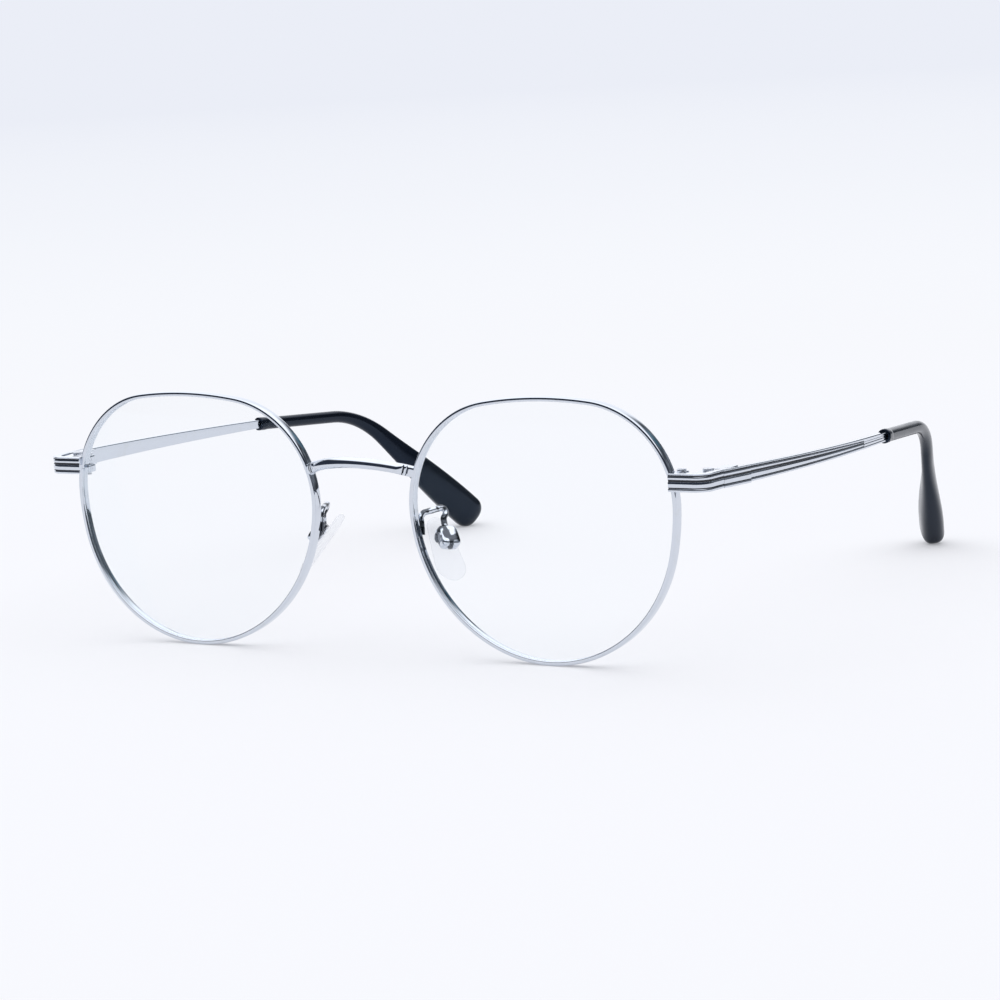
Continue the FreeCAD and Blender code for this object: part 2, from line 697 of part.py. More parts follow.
def side_strip(name, start, end, low, high, low_end, high_end, margin=0.0):
    """A strip of the blade seen from the side, between shares of its height at both ends."""
    corners = [
        (start, blade_height(start, low) - margin),
        (end, blade_height(end, low_end) - margin),
        (end, blade_height(end, high_end) + margin),
        (start, blade_height(start, high) + margin),
    ]
    sketch = outline(name + "_side", SIDE_VIEW, [(str(y), str(z)) for y, z in corners])
    return extrude(name, sketch, Vector(1, 0, 0), "strip_deep")


blade_side = side_strip("blade_side", 0.0, dim("strip_deep"), 0.0, 1.0, 0.0, 1.0)
blade_blank = common("blade_blank", blade_plan, blade_side)

# the engraved lines draw together towards the rear and end at a short cross line
half_line = dim("line_wide") / 2
line_start = dim("plate_end") - dim("line_overrun")
line_end = dim("line_end")
line_plan = bow_band(
    "line_plan",
    blade_outside - dim("line_depth"),
    blade_outside + dim("line_overrun"),
    line_start,
    line_end + dim("line_overrun"),
)
LINES = [(0.88, 0.72), (0.6, 0.56), (0.2, 0.27)]
strips = []
for i, (share, share_end) in enumerate(LINES):
    strips.append(
        side_strip(
            f"line_{i}", line_start, line_end, share, share, share_end, share_end, half_line
        )
    )
cross_low = LINES[-1][1]
cross_high = LINES[0][1]
strips.append(
    side_strip(
        "line_cross",
        line_end - dim("line_wide"),
        line_end,
        cross_low,
        cross_high,
        cross_low,
        cross_high,
        half_line,
    )
)
lines = common("lines", fuse("line_strips", *strips), line_plan)

# ridged plate on the front of the blade
plate_ends = [blade_start, (blade_start + dim("plate_end")) / 2, dim("plate_end")]
plate_points = [bow_point(depth) + UP * blade_height(depth, 0.5) for depth in plate_ends]
plate_path = doc.addObject("Part::Feature", "plate_path")
plate_path.Shape = Part.Wire(Part.Arc(*plate_points).toShape())
plate_tangent = plate_path.Shape.Edges[0].tangentAt(plate_path.Shape.Edges[0].FirstParameter)
plate_section = doc.addObject("Sketcher::SketchObject", "plate_section")
ridged_profile(plate_section, -half_bar, dim("plate_thick"), -dim("end_tall") / 2, dim("end_tall"))
outward = plate_tangent.cross(UP).normalize()
plate_section.Placement = FreeCAD.Placement(
    plate_points[0], FreeCAD.Rotation(outward * -1, Vector(0, 0, 0), plate_tangent * -1, "ZXY")
)
plate = sweep("plate_bar", plate_section, plate_path)
keep(plate, "temple_plate_left")

# ---------------------------------------------------------------- core wire and tip
core_start = bow_point(dim("tip_start"), (blade_outside - half_bar) / 2) + UP * dim("tip_start_middle")
ear_bend = Vector(dim("bend_x"), dim("bend_y"), dim("bend_z"))
tip_end = Vector(dim("tip_x"), dim("tip_y"), dim("tip_z"))
first_run = (ear_bend - core_start).normalize()
second_run = (tip_end - ear_bend).normalize()
core_foot = core_start - first_run * dim("core_overlap")
core_path = rounded_path(
    "core_path",
    [core_foot, ear_bend, tip_end - second_run * dim("core_short")],
    [dim("bend_radius")],
)
half_core = "core_size / 2"
core_corners = [("-1", "-1"), ("1", "-1"), ("1", "1"), ("-1", "1")]
core_section = outline(
    "core_section",
    FreeCAD.Rotation(),
    [(f"{x} * {half_core}", f"{y} * {half_core}") for x, y in core_corners],
)
core_section.Placement = FreeCAD.Placement(core_foot, across(first_run))
core = sweep("core_wire", core_section, core_path)
blade_engraved = cut("blade_engraved", cut("blade_under_plate", blade_blank, plate), lines)
temple = keep(fuse("temple_solid", blade_engraved, core), "temple_left")

tip_path = rounded_path(
    "tip_path", [core_start, ear_bend, tip_end + second_run * dim("tip_round")], [dim("bend_radius")]
)
tip_long = tip_path.Shape.Length
paddle_long = tip_long - dim("tip_round")
bend_side = first_run.cross(second_run).normalize()


def along_path(wire, run):
    """Point and direction at a distance along a wire."""
    for edge in wire.OrderedEdges:
        if run <= edge.Length + TOUCH:
            at = edge.getParameterByLength(min(run, edge.Length))
            return edge.valueAt(at), edge.tangentAt(at)
        run -= edge.Length
    raise ValueError("past the end of the wire")


def eased(share, start, end):
    """A soft step from 0 to 1 between two shares."""
    rise = min(1.0, max(0.0, (share - start) / (end - start)))
    return rise * rise * (3 - 2 * rise)


def tip_section(name, run, shrink):
    """An ellipse across the tip: upright at the mouth, then turned with the bend and swelling."""
    point, direction = along_path(tip_path.Shape, run)
    share = run / tip_long
    level = (UP - direction * direction.z).normalize()
    bent = direction.cross(bend_side).normalize()
    if bent.dot(level) < 0:
        bent = bent * -1
    twist = math.radians(dim("paddle_twist")) * eased(share, *TWIST_SHARES)
    bent = bent * math.cos(twist) - direction.cross(bent) * math.sin(twist)
    tall = level + (bent - level) * eased(share, *TURN_SHARES)
    swell = min(1.0, max(0.0, (share - SWELL_SHARES[0]) / (SWELL_SHARES[1] - SWELL_SHARES[0])))
    thicker = eased(share, *THICK_SHARES)
    tip_tall = dim("tip_tall") + (dim("paddle_tall") - dim("tip_tall")) * swell**SWELL_POWER
    tip_thick = dim("tip_thick") + (dim("paddle_thick") - dim("tip_thick")) * thicker
    section = doc.addObject("Part::Ellipse", name)
    section.MajorRadius = shrink * tip_tall / 2
    section.MinorRadius = shrink * tip_thick / 2
    section.Placement = FreeCAD.Placement(point, across(direction, tall.normalize()))
    return section


# where along the tip, as shares of its length, it twists, turns into the bend's plane and swells
TOUCH = 1e-6
TWIST_SHARES = (0.45, 0.85)
TURN_SHARES = (0.3, 0.75)
SWELL_SHARES = (0.42, 0.92)
THICK_SHARES = (0.6, 0.92)
SWELL_POWER = 0.85
SECTION_SPACING = 3.5
END_SHARES = (0.35, 0.65, 0.85, 0.96)
full_sections = int(paddle_long / SECTION_SPACING)
runs = [(i * paddle_long / full_sections, 1.0) for i in range(full_sections + 1)]
for share in END_SHARES:
    runs.append((paddle_long + share * dim("tip_round"), math.sqrt(1 - share**2)))
tip_blank = doc.addObject("Part::Loft", "tip_blank")
tip_blank.Sections = [tip_section(f"tip_section_{i}", *run) for i, run in enumerate(runs)]
tip_blank.Solid = True
keep(cut("tip_solid", tip_blank, temple), "temple_tip_left")

# ---------------------------------------------------------------- rear hinge leaf
rear_leaf = box(
    "rear_leaf",
    ("rear_leaf_x", "rear_leaf_y", "knuckle_bottom"),
    ("rear_leaf_wide", "leaf_end - rear_leaf_y", hinge_tall),
)
rear_arm = box(
    "rear_arm",
    ("rear_arm_x", "pivot_y", middle_bottom),
    ("rear_arm_wide", "rear_arm_end - pivot_y", "knuckle_tall"),
)
rear_blank = fuse("rear_hinge_blank", rear_leaf, rear_arm, knuckle("middle_knuckle", middle_bottom))
rear_bored = cut("rear_hinge_bored", rear_blank, hinge_bore("running_pin_bore", "running_gap"))
keep(cut("rear_hinge_solid", rear_bored, blade_blank), "hinge_rear_left")


# ---------------------------------------------------------------- nose pad, drawn in its own frame
# x runs down along the pad, y across it and z out of the face that rests on the nose
pad_down = Vector(dim("pad_down_x"), dim("pad_down_y"), dim("pad_down_z")).normalize()
pad_face = Vector(dim("pad_face_x"), dim("pad_face_y"), dim("pad_face_z"))
pad_face = (pad_face - pad_down * pad_face.dot(pad_down)).normalize()
pad_turn = FreeCAD.Rotation(pad_down, pad_face.cross(pad_down), pad_face, "XZY")
pad_place = FreeCAD.Placement(Vector(dim("pad_x"), dim("pad_y"), dim("pad_z")), pad_turn)
ACROSS = FreeCAD.Rotation(Vector(1, 0, 0), -90)


def pad_frame(name, thing):
    """A finished piece of the nose pad set, moved from the pad's own frame to its place."""
    placed = doc.addObject("Part::Compound", name)
    placed.Links = [thing]
    placed.Placement = pad_place
    return placed


# width of the drop's upper end as a share of its lower end
UPPER_SHARE = 0.7


def drop_outline(sketch):
    """A drop shape: a wide lower end, a narrower upper end and two tangent sides."""
    lower = dim("pad_wide") / 2
    upper = UPPER_SHARE * lower
    reach = dim("pad_long") / 2
    lower_x = reach - lower
    upper_x = upper - reach
    lean = math.acos((lower - upper) / (lower_x - upper_x))
    ends = []
    for centre, radius, start, end in (
        (lower_x, lower, -(math.pi - lean), math.pi - lean),
        (upper_x, upper, math.pi - lean, math.pi + lean),
    ):
        circle = Part.Circle(Vector(centre, 0, 0), UP, radius)
        sketch.addGeometry(Part.ArcOfCircle(circle, start, end), False)
        for angle in (start, end):
            ends.append(Vector(centre + radius * math.cos(angle), radius * math.sin(angle), 0))
    sketch.addGeometry(Part.LineSegment(ends[1], ends[2]), False)
    sketch.addGeometry(Part.LineSegment(ends[3], ends[0]), False)
    for first, second in ((0, 2), (2, 1), (1, 3), (3, 0)):
        sketch.addConstraint(Sketcher.Constraint("Tangent", first, 2, second, 1))
    for arc, radius in ((0, "pad_wide / 2"), (1, f"{UPPER_SHARE} * pad_wide / 2")):
        index = sketch.addConstraint(Sketcher.Constraint("Radius", arc, worth(radius)))
        sketch.setExpression(f"Constraints[{index}]", cells(radius))


pad_body = doc.addObject("PartDesign::Body", "pad_body")
pad_sketch = pad_body.newObject("Sketcher::SketchObject", "pad_sketch")
pad_sketch.AttachmentSupport = [(origin_plane(pad_body, "XY_Plane"), "")]
pad_sketch.MapMode = "FlatFace"
bind(pad_sketch, AttachmentOffset__Base__z="-pad_thick / 2")
drop_outline(pad_sketch)
cushion = pad_body.newObject("PartDesign::Pad", "cushion")
cushion.Profile = pad_sketch
bind(cushion, Length="pad_thick")
doc.recompute()
flat_edges = [
    f"Edge{i}"
    for i, edge in enumerate(cushion.Shape.Edges, start=1)
    if abs(edge.BoundBox.ZMax - edge.BoundBox.ZMin) < dim("pad_thick") / 2
]
rounding = pad_body.newObject("PartDesign::Fillet", "rounding")
rounding.Base = (cushion, flat_edges)
bind(rounding, Radius="pad_round")
doc.recompute()
lug_bottom = "pad_pin_lift + lug_below"
lug = box(
    "lug",
    ("-box_along - lug_size / 2", "-lug_size / 2", f"-({lug_bottom})"),
    ("lug_size", "lug_size", f"{lug_bottom} - pad_thick / 4"),
)
pad_pin_foot = ("-box_along", "-box_wide / 2 - pad_pin_start", "-pad_pin_lift")
pad_bore_long = "box_wide + bore_margin"
pad_running_bore = cylinder(
    "pad_running_bore", pad_pin_foot, "pad_pin_radius + running_gap", pad_bore_long, ACROSS
)
pad_fixed_bore = cylinder(
    "pad_fixed_bore", pad_pin_foot, "pad_pin_radius + fixed_gap", pad_bore_long, ACROSS
)
pad_solid = cut("pad_solid", fuse("pad_blank", pad_body, lug), pad_running_bore)
keep(pad_frame("pad_placed", pad_solid), "nose_pad_left")

box_block = box(
    "box_block",
    ("-box_along - box_long / 2", "-box_wide / 2", "-box_lift - box_tall"),
    ("box_long", "box_wide", "box_tall"),
)
box_rounded = doc.addObject("Part::Fillet", "box_rounded")
box_rounded.Base = box_block
doc.recompute()
deep_edges = [
    i
    for i, edge in enumerate(box_block.Shape.Edges, start=1)
    if edge.BoundBox.ZMin < -dim("box_lift") - dim("box_round")
]
box_rounded.Edges = [(i, dim("box_round"), dim("box_round")) for i in deep_edges]
box_hollow = box(
    "box_hollow",
    (
        "-box_along - box_long / 2 + box_wall",
        "-box_wide / 2 + box_wall",
        "-box_lift - box_tall + box_floor",
    ),
    ("box_long - 2 * box_wall", "box_wide - 2 * box_wall", "box_tall"),
)
box_shell = cut("box_shell", cut("box_cup", box_rounded, box_hollow), pad_fixed_bore)
pad_box = keep(pad_frame("box_placed", box_shell), "pad_box_left")
pad_screw = screw(
    "pad_screw",
    pad_pin_foot,
    "pad_pin_radius",
    "box_wide + pad_pin_start",
    "pad_head_radius",
    "pad_head_tall",
    ACROSS,
)
keep(pad_frame("pad_screw_placed", pad_screw), "pad_screw_left")

# pad arm: a wire brazed to the back of the eyewire that loops back and down to the pad box
box_end = dim("box_along") + dim("box_long") / 2 - dim("arm_sunk")
arm_goal = pad_place.multVec(Vector(-box_end, 0, -dim("box_lift") - dim("box_tall") / 2))
arm_corners = [
    Vector(dim(f"arm_{spot}_x"), dim(f"arm_{spot}_y"), dim(f"arm_{spot}_z"))
    for spot in ("foot", "elbow", "loop", "dip")
]
arm_path = rounded_path(
    "arm_path",
    arm_corners + [arm_goal],
    [dim("arm_elbow_radius"), dim("arm_loop_radius"), dim("arm_dip_radius")],
)
arm_section = doc.addObject("Part::Circle", "arm_section")
bind(arm_section, Radius="arm_radius")
arm_start = (arm_corners[1] - arm_corners[0]).normalize()
arm_section.Placement = FreeCAD.Placement(arm_corners[0], across(arm_start, Vector(1, 0, 0)))
arm_wire = sweep("arm_wire", arm_section, arm_path)
keep(cut("arm_solid", cut("arm_behind_rim", arm_wire, rim_band), pad_box), "pad_arm_left")

# ---------------------------------------------------------------- right side
for piece in list(nodes):
    if piece.Label.endswith("_left"):
        mirror(piece, piece.Label[: -len("left")] + "right")

doc.recompute()

# ---------------------------------------------------------------- checks and files
failed = [thing.Name for thing in doc.Objects if {"Invalid", "Error"} & set(thing.State)]
if failed:
    raise RuntimeError(f"failed objects: {failed}")
forward = FreeCAD.Placement(Vector(0, -dim("origin_depth"), 0), FreeCAD.Rotation())
os.makedirs("parts", exist_ok=True)
for piece in nodes:
    piece.Placement = forward.multiply(piece.Placement)
    shape = piece.Shape.copy()
    if shape.isNull() or not shape.isValid() or len(shape.Solids) != 1:
        raise RuntimeError(f"bad shape: {piece.Label}")
    shape.Solids[0].exportStep(f"parts/{piece.Label}.step")
print(len(nodes), "pieces written")
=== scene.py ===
import math

import bpy
import numpy as np
from mathutils import Matrix, Vector


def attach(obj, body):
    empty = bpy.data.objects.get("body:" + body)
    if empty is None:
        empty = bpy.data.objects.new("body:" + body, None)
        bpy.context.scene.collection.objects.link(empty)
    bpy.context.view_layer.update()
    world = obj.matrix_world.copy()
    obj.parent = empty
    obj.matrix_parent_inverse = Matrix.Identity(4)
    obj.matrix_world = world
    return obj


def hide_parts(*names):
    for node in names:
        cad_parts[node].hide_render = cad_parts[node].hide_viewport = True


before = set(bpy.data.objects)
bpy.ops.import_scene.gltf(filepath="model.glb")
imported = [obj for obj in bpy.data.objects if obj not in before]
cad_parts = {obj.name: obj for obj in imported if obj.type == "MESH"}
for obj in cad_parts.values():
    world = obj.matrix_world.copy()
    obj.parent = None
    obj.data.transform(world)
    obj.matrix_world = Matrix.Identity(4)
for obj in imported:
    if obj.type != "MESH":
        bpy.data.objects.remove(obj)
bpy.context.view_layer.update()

# Lengths are in millimetres with the lens fronts at y = 0. to_row() turns them into the row frame.
MM = 0.001
ORIGIN_DEPTH = 61.95
HALF_SPACING = 35.0
LENS_CENTRE_Z = 22.61
FACE_RADIUS = 240.0
WIRE_WIDTH = 0.75
WIRE_DEPTH = 1.85
UP = np.array([0.0, 0.0, 1.0])


def to_row(points):
    moved = np.array(points, float) - np.array([0.0, ORIGIN_DEPTH, 0.0])
    return moved * MM


# ------------------------------------------------------------------ materials
class Nodes:
    """Short names for building a node tree."""

    def __init__(self, tree):
        self.tree = tree
        tree.nodes.clear()

    def add(self, kind, inputs=None, **settings):
        node = self.tree.nodes.new(kind)
        for name, value in settings.items():
            setattr(node, name, value)
        for name, value in (inputs or {}).items():
            self.feed(node.inputs[name], value)
        return node

    def feed(self, socket, value):
        if isinstance(value, bpy.types.NodeSocket):
            self.tree.links.new(value, socket)
        else:
            socket.default_value = value

    def maths(self, operation, *values):
        node = self.add("ShaderNodeMath", operation=operation)
        for socket, value in zip(node.inputs, values):
            self.feed(socket, value)
        return node.outputs[0]

    def step(self, value, low, high, start=0.0, end=1.0):
        """A smooth step from start to end while value goes from low to high."""
        node = self.add(
            "ShaderNodeMapRange",
            {"Value": value, "From Min": low, "From Max": high, "To Min": start, "To Max": end},
            interpolation_type="SMOOTHSTEP",
        )
        return node.outputs[0]

    def noise(self, vector, scale, detail=3.0, roughness=0.5):
        node = self.add(
            "ShaderNodeTexNoise",
            {"Vector": vector, "Scale": scale, "Detail": detail, "Roughness": roughness},
        )
        return node.outputs[0]

    def blend(self, share, first, second, way="MIX"):
        """A mix of two colours; a colour Mix node keeps its share, A and B at sockets 0, 6 and 7."""
        node = self.add("ShaderNodeMix", data_type="RGBA", blend_type=way)
        for index, value in ((0, share), (6, first), (7, second)):
            self.feed(node.inputs[index], value)
        return node.outputs[2]

    def bump(self, height, distance, strength=1.0, normal=None):
        inputs = {"Height": height, "Distance": distance, "Strength": strength}
        if normal is not None:
            inputs["Normal"] = normal
        return self.add("ShaderNodeBump", inputs).outputs[0]

    def finish(self, shader, output="ShaderNodeOutputMaterial"):
        self.add(output, {"Surface": shader})


def material(name):
    made = bpy.data.materials.new(name)
    made.use_nodes = True
    return made, Nodes(made.node_tree)


def bright_metal(name, colour, roughness, edge=0.0, grain=0.0, painted_reflection=0.0):
    """Polished plating: faint waviness, fine rub marks, slightly duller and yellower worn patches.

    The last argument adds painted reflections: dark blotches in the colour that stand for the dark
    surroundings which small, strongly curved plated parts reflect.
    """
    made, n = material(name)
    place = n.add("ShaderNodeTexCoord").outputs["Object"]
    wave = n.noise(place, 260.0, 2.0)
    rub = n.noise(place, 2600.0, 4.0, 0.7)
    wear = n.step(n.noise(place, 420.0, 5.0, 0.65), 0.52, 0.75)
    shade = n.blend(wear, (*colour, 1.0), (colour[0] * 0.96, colour[1] * 0.95, colour[2] * 0.92, 1.0))
    if painted_reflection:
        # Painted reflection: dark blotches blended into the plating colour.
        dark_reflection_mask = n.maths("MULTIPLY", n.step(n.noise(place, 640.0, 1.5, 0.4), 0.47, 0.53), painted_reflection)
        shade = n.blend(dark_reflection_mask, shade, (0.03, 0.035, 0.045, 1.0))
    polish = n.maths("ADD", roughness, n.maths("MULTIPLY", wear, 0.05))
    polish = n.maths("ADD", polish, n.maths("MULTIPLY", rub, 0.03 + grain))
    inputs = {"Base Color": shade, "Metallic": 1.0, "Roughness": polish, "Specular IOR Level": 0.5}
    base = None
    if edge:
        base = n.add("ShaderNodeBevel", {"Radius": edge}, samples=6).outputs[0]
    normal = n.bump(wave, 0.000012, 0.5, base)
    inputs["Normal"] = n.bump(rub, 0.000002, 0.4, normal)
    n.finish(n.add("ShaderNodeBsdfPrincipled", inputs).outputs[0])
    return made


PLATING = (0.66, 0.695, 0.755)
plating = bright_metal("polished_plating", PLATING, 0.03)
cut_plating = bright_metal("polished_plating_cut", PLATING, 0.06, edge=0.00012)
# The small parts and the pad screws carry painted dark reflections in their colour.
small_plating = bright_metal("polished_plating_small_parts", PLATING, 0.05, painted_reflection=0.9)
screw_metal = bright_metal("turned_screw_steel", (0.78, 0.8, 0.84), 0.36, edge=0.00008, grain=0.1)
pad_screw_metal = bright_metal(
    "worn_screw_steel_painted_reflections", (0.50, 0.52, 0.56), 0.14, edge=0.00008, grain=0.1, painted_reflection=0.6
)


def tip_plastic():
    """Black acetate: glossy, with a faint tumbled unevenness and tiny dust specks in the polish."""
    made, n = material("black_acetate")
    place = n.add("ShaderNodeTexCoord").outputs["Object"]
    cloud = n.noise(place, 180.0, 4.0)
    fine = n.noise(place, 3200.0, 3.0, 0.6)
    speck = n.step(fine, 0.66, 0.74)
    colour = n.blend(cloud, (0.002, 0.0035, 0.007, 1.0), (0.004, 0.006, 0.012, 1.0))
    rough = n.maths("ADD", n.step(cloud, 0.3, 0.7, 0.14, 0.22), n.maths("MULTIPLY", speck, 0.12))
    inputs = {
        "Base Color": colour,
        "Roughness": rough,
        "IOR": 1.5,
        "Specular IOR Level": 0.36,
        "Specular Tint": (0.5, 0.68, 1.0, 1.0),
        "Normal": n.bump(cloud, 0.00003, 0.5, n.bump(fine, 0.000003, 0.4)),
    }
    n.finish(n.add("ShaderNodeBsdfPrincipled", inputs).outputs[0])
    return made


def lens_clear():
    """Coated clear lens: almost all light passes, with a weak cool reflection that grows at a slant."""
    made, n = material("coated_clear_lens")
    place = n.add("ShaderNodeTexCoord").outputs["Object"]
    smear = n.noise(place, 60.0, 4.0, 0.6)
    slant = n.add("ShaderNodeFresnel", {"IOR": 1.5}).outputs[0]
    share = n.maths("MULTIPLY", slant, 0.06)
    through = n.add("ShaderNodeBsdfTransparent", {"Color": (0.992, 0.996, 0.998, 1.0)}).outputs[0]
    tint = n.blend(smear, (0.75, 0.95, 0.9, 1.0), (0.75, 0.85, 1.0, 1.0))
    gloss = n.add(
        "ShaderNodeBsdfGlossy", {"Color": tint, "Roughness": n.step(smear, 0.4, 0.8, 0.01, 0.05)}
    )
    mixed = n.add("ShaderNodeMixShader", {0: share, 1: through, 2: gloss.outputs[0]}).outputs[0]
    n.finish(mixed)
    return made


def pad_silicone():
    """Clear soft silicone: milky at the rim, clear in the middle, with a soft gloss."""
    made, n = material("clear_silicone")
    place = n.add("ShaderNodeTexCoord").outputs["Object"]
    cloud = n.noise(place, 700.0, 3.0)
    slant = n.add("ShaderNodeLayerWeight", {"Blend": 0.35}).outputs["Facing"]
    milky = n.maths("ADD", n.step(slant, 0.25, 1.0, 0.03, 0.34), n.maths("MULTIPLY", cloud, 0.04))
    through = n.add("ShaderNodeBsdfTransparent", {"Color": (0.985, 0.988, 0.994, 1.0)}).outputs[0]
    body = n.add(
        "ShaderNodeBsdfPrincipled",
        {
            "Base Color": (0.84, 0.87, 0.91, 1.0),
            "Roughness": 0.16,
            "IOR": 1.41,
            "Normal": n.bump(cloud, 0.00001, 0.4),
        },
    ).outputs[0]
    n.finish(n.add("ShaderNodeMixShader", {0: milky, 1: through, 2: body}).outputs[0])
    return made


def groove_shade():
    """Painted shade at the bottom of the engraved lines: a dull dark coat standing in for the shade in
    these recesses, with some dark residue and unpolished plating.
    """
    made, n = material("groove_residue_and_painted_shade")
    place = n.add("ShaderNodeTexCoord").outputs["Object"]
    shade_and_grime = n.noise(place, 1500.0, 4.0, 0.65)
    inputs = {
        "Base Color": n.blend(shade_and_grime, (0.016, 0.018, 0.022, 1.0), (0.09, 0.095, 0.11, 1.0)),
        "Metallic": 0.6,
        "Roughness": n.step(shade_and_grime, 0.3, 0.7, 0.35, 0.6),
        "Normal": n.bump(shade_and_grime, 0.000006, 0.5),
    }
    n.finish(n.add("ShaderNodeBsdfPrincipled", inputs).outputs[0])
    return made


acetate = tip_plastic()
painted_groove_shade = groove_shade()
lens_glass = lens_clear()
silicone = pad_silicone()


# ------------------------------------------------------------------ mesh helpers
def piece(name, points, faces, paint, body, nodes, sharp=32.0, dark=()):
    """A smooth shaded mesh that rides on a CAD body and stands for CAD nodes; dark faces are grooves,
    which get the painted groove shade.
    """
    mesh = bpy.data.meshes.new(name)
    mesh.from_pydata([tuple(p) for p in to_row(points)], [], [tuple(f) for f in faces])
    mesh.materials.append(paint)
    if dark:
        # Groove faces take the second material, the painted groove shade.
        mesh.materials.append(painted_groove_shade)
        for index in dark:
            mesh.polygons[index].material_index = 1
    mesh.update()
    mesh.shade_smooth()
    mesh.set_sharp_from_angle(angle=math.radians(sharp))
    thing = bpy.data.objects.new(name, mesh)
    bpy.context.scene.collection.objects.link(thing)
    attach(thing, body)
    if nodes:
        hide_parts(*nodes)
    return thing


def both_sides(name, points, faces, paint, body, nodes, sharp=32.0, dark=()):
    """The left piece and its mirrored twin; body and nodes get the side's name appended."""
    points = np.array(points, float)
    for side, sign in (("left", 1.0), ("right", -1.0)):
        placed = points * np.array([sign, 1.0, 1.0])
        turned = faces if sign > 0 else [tuple(reversed(f)) for f in faces]
        rides = body if body == "frame" else f"{body}_{side}"
        stands = [f"{node}_{side}" for node in nodes]
        piece(f"{name}_{side}", placed, turned, paint, rides, stands, sharp, dark)


def loft(rings, closed=False):
    """Points and faces through rings of equal length; open lofts get a cap at each end."""
    rings = [np.asarray(ring, float) for ring in rings]
    size = len(rings[0])
    points = np.vstack(rings)
    faces = []
    count = len(rings)
    for i in range(count if closed else count - 1):
        a, b = i * size, ((i + 1) % count) * size
        for j in range(size):
            k = (j + 1) % size
            faces.append((a + j, a + k, b + k, b + j))
    if not closed:
        faces.append(tuple(reversed(range(size))))
        faces.append(tuple(range((count - 1) * size, count * size)))
    return points, faces


def join(*parts):
    """Several (points, faces) in one."""
    points, faces = [], []
    for some, few in parts:
        shift = sum(len(p) for p in points)
        points.append(np.asarray(some, float))
        faces += [tuple(index + shift for index in face) for face in few]
    return np.vstack(points), faces


def ease(value, low, high):
    """A soft step from 0 to 1 while value goes from low to high."""
    share = min(1.0, max(0.0, (value - low) / (high - low)))
    return share * share * (3 - 2 * share)


def unit(vector):
    vector = np.array(vector, float)
    return vector / np.linalg.norm(vector)


def rounded_route(corners, radii, spacing):
    """Points and directions along straight runs joined by tangent arcs."""
    corners = [np.array(c, float) for c in corners]
    spots, ways = [], []
    start = corners[0]
    for before, corner, after, radius in zip(corners, corners[1:], corners[2:], radii):
        arrive, leave = unit(corner - before), unit(after - corner)
        turn = math.acos(np.clip(arrive @ leave, -1, 1))
        reach = radius * math.tan(turn / 2)
        enter = corner - arrive * reach
        steps = max(2, int(np.linalg.norm(enter - start) / spacing))
        for i in range(steps):
            spots.append(start + (enter - start) * i / steps)
            ways.append(arrive)
        normal = unit(leave - arrive * (leave @ arrive))
        arcs = max(6, int(radius * turn / spacing))
        for i in range(arcs):
            a = turn * i / arcs
            spots.append(enter + arrive * radius * math.sin(a) + normal * radius * (1 - math.cos(a)))
            ways.append(arrive * math.cos(a) + normal * math.sin(a))
        start = corner + leave * reach
    steps = max(2, int(np.linalg.norm(corners[-1] - start) / spacing))
    for i in range(steps + 1):
        spots.append(start + (corners[-1] - start) * i / steps)
        ways.append(unit(corners[-1] - start))
    return np.array(spots), np.array(ways)


def squircle(half_wide, half_tall, power=4.0, count=32):
    """Closed outline between an ellipse (power 2) and a rectangle (high power)."""
    outline = []
    for j in range(count):
        t = 2 * math.pi * (j + 0.5) / count
        reach = (abs(math.cos(t)) ** power + abs(math.sin(t)) ** power) ** (-1 / power)
        outline.append((half_wide * reach * math.cos(t), half_tall * reach * math.sin(t)))
    return outline


def soft_block(centre, half, axes=((1, 0, 0), (0, 1, 0), (0, 0, 1)), power=5.0, edge=0.35):
    """A block with rounded sides and rounded ends, lofted along its third axis."""
    centre = np.array(centre, float)
    u, v, w = (np.array(axis, float) for axis in axes)
    rings = []
    for i in range(13):
        t = math.pi * (i / 12 - 0.5)
        shrink = edge * (1 - math.sqrt(max(0.0, math.cos(t))))
        depth = half[2] * math.copysign(abs(math.sin(t)) ** 0.4, t)
        outline = squircle(half[0] - shrink, half[1] - shrink, power)
        rings.append([centre + u * a + v * b + w * depth for a, b in outline])
    return loft(rings)


# ------------------------------------------------------------------ eyewire outline
# centre x, centre z, radius, start angle and end angle of each tangent arc, about the lens centre
EYEWIRE_ARCS = (
    (-14.3943, 5.2734, 39.9, -12.4, -1.3),
    (8.0499, 4.7641, 17.45, -1.3, 83.0),
    (1.5429, -48.2318, 70.8439, 83.0, 99.3),
    (-6.8999, 3.3253, 18.6, 99.3, 185.4),
    (1.3097, 4.1014, 26.8462, 185.4, 250.2),
    (0.5488, 1.9879, 24.6, 250.2, 347.6),
)
SLIT_Z = 31.5 - LENS_CENTRE_Z
HALF_SLIT = 0.15


def eyewire_outline(spacing):
    """Points and outward normals round the eyewire, starting just above its slit."""
    spots, normals = [], []
    for cx, cz, radius, start, end in EYEWIRE_ARCS:
        steps = max(2, int(radius * math.radians(end - start) / spacing))
        for i in range(steps):
            a = math.radians(start + (end - start) * i / steps)
            normals.append((math.cos(a), math.sin(a)))
            spots.append((cx + radius * math.cos(a), cz + radius * math.sin(a)))
    spots, normals = np.array(spots), np.array(normals)
    first = next(i for i in range(len(spots)) if spots[i, 0] > 0 and spots[i, 1] > SLIT_Z + HALF_SLIT)
    spots, normals = np.roll(spots, -first, 0), np.roll(normals, -first, 0)
    keep = ~((spots[:, 0] > 0) & (abs(spots[:, 1] - SLIT_Z) < HALF_SLIT))
    return spots[keep], normals[keep]


def face_depth(x, z):
    """Depth of the dished front at a point about the lens centre."""
    return FACE_RADIUS - np.sqrt(FACE_RADIUS**2 - x**2 - z**2)


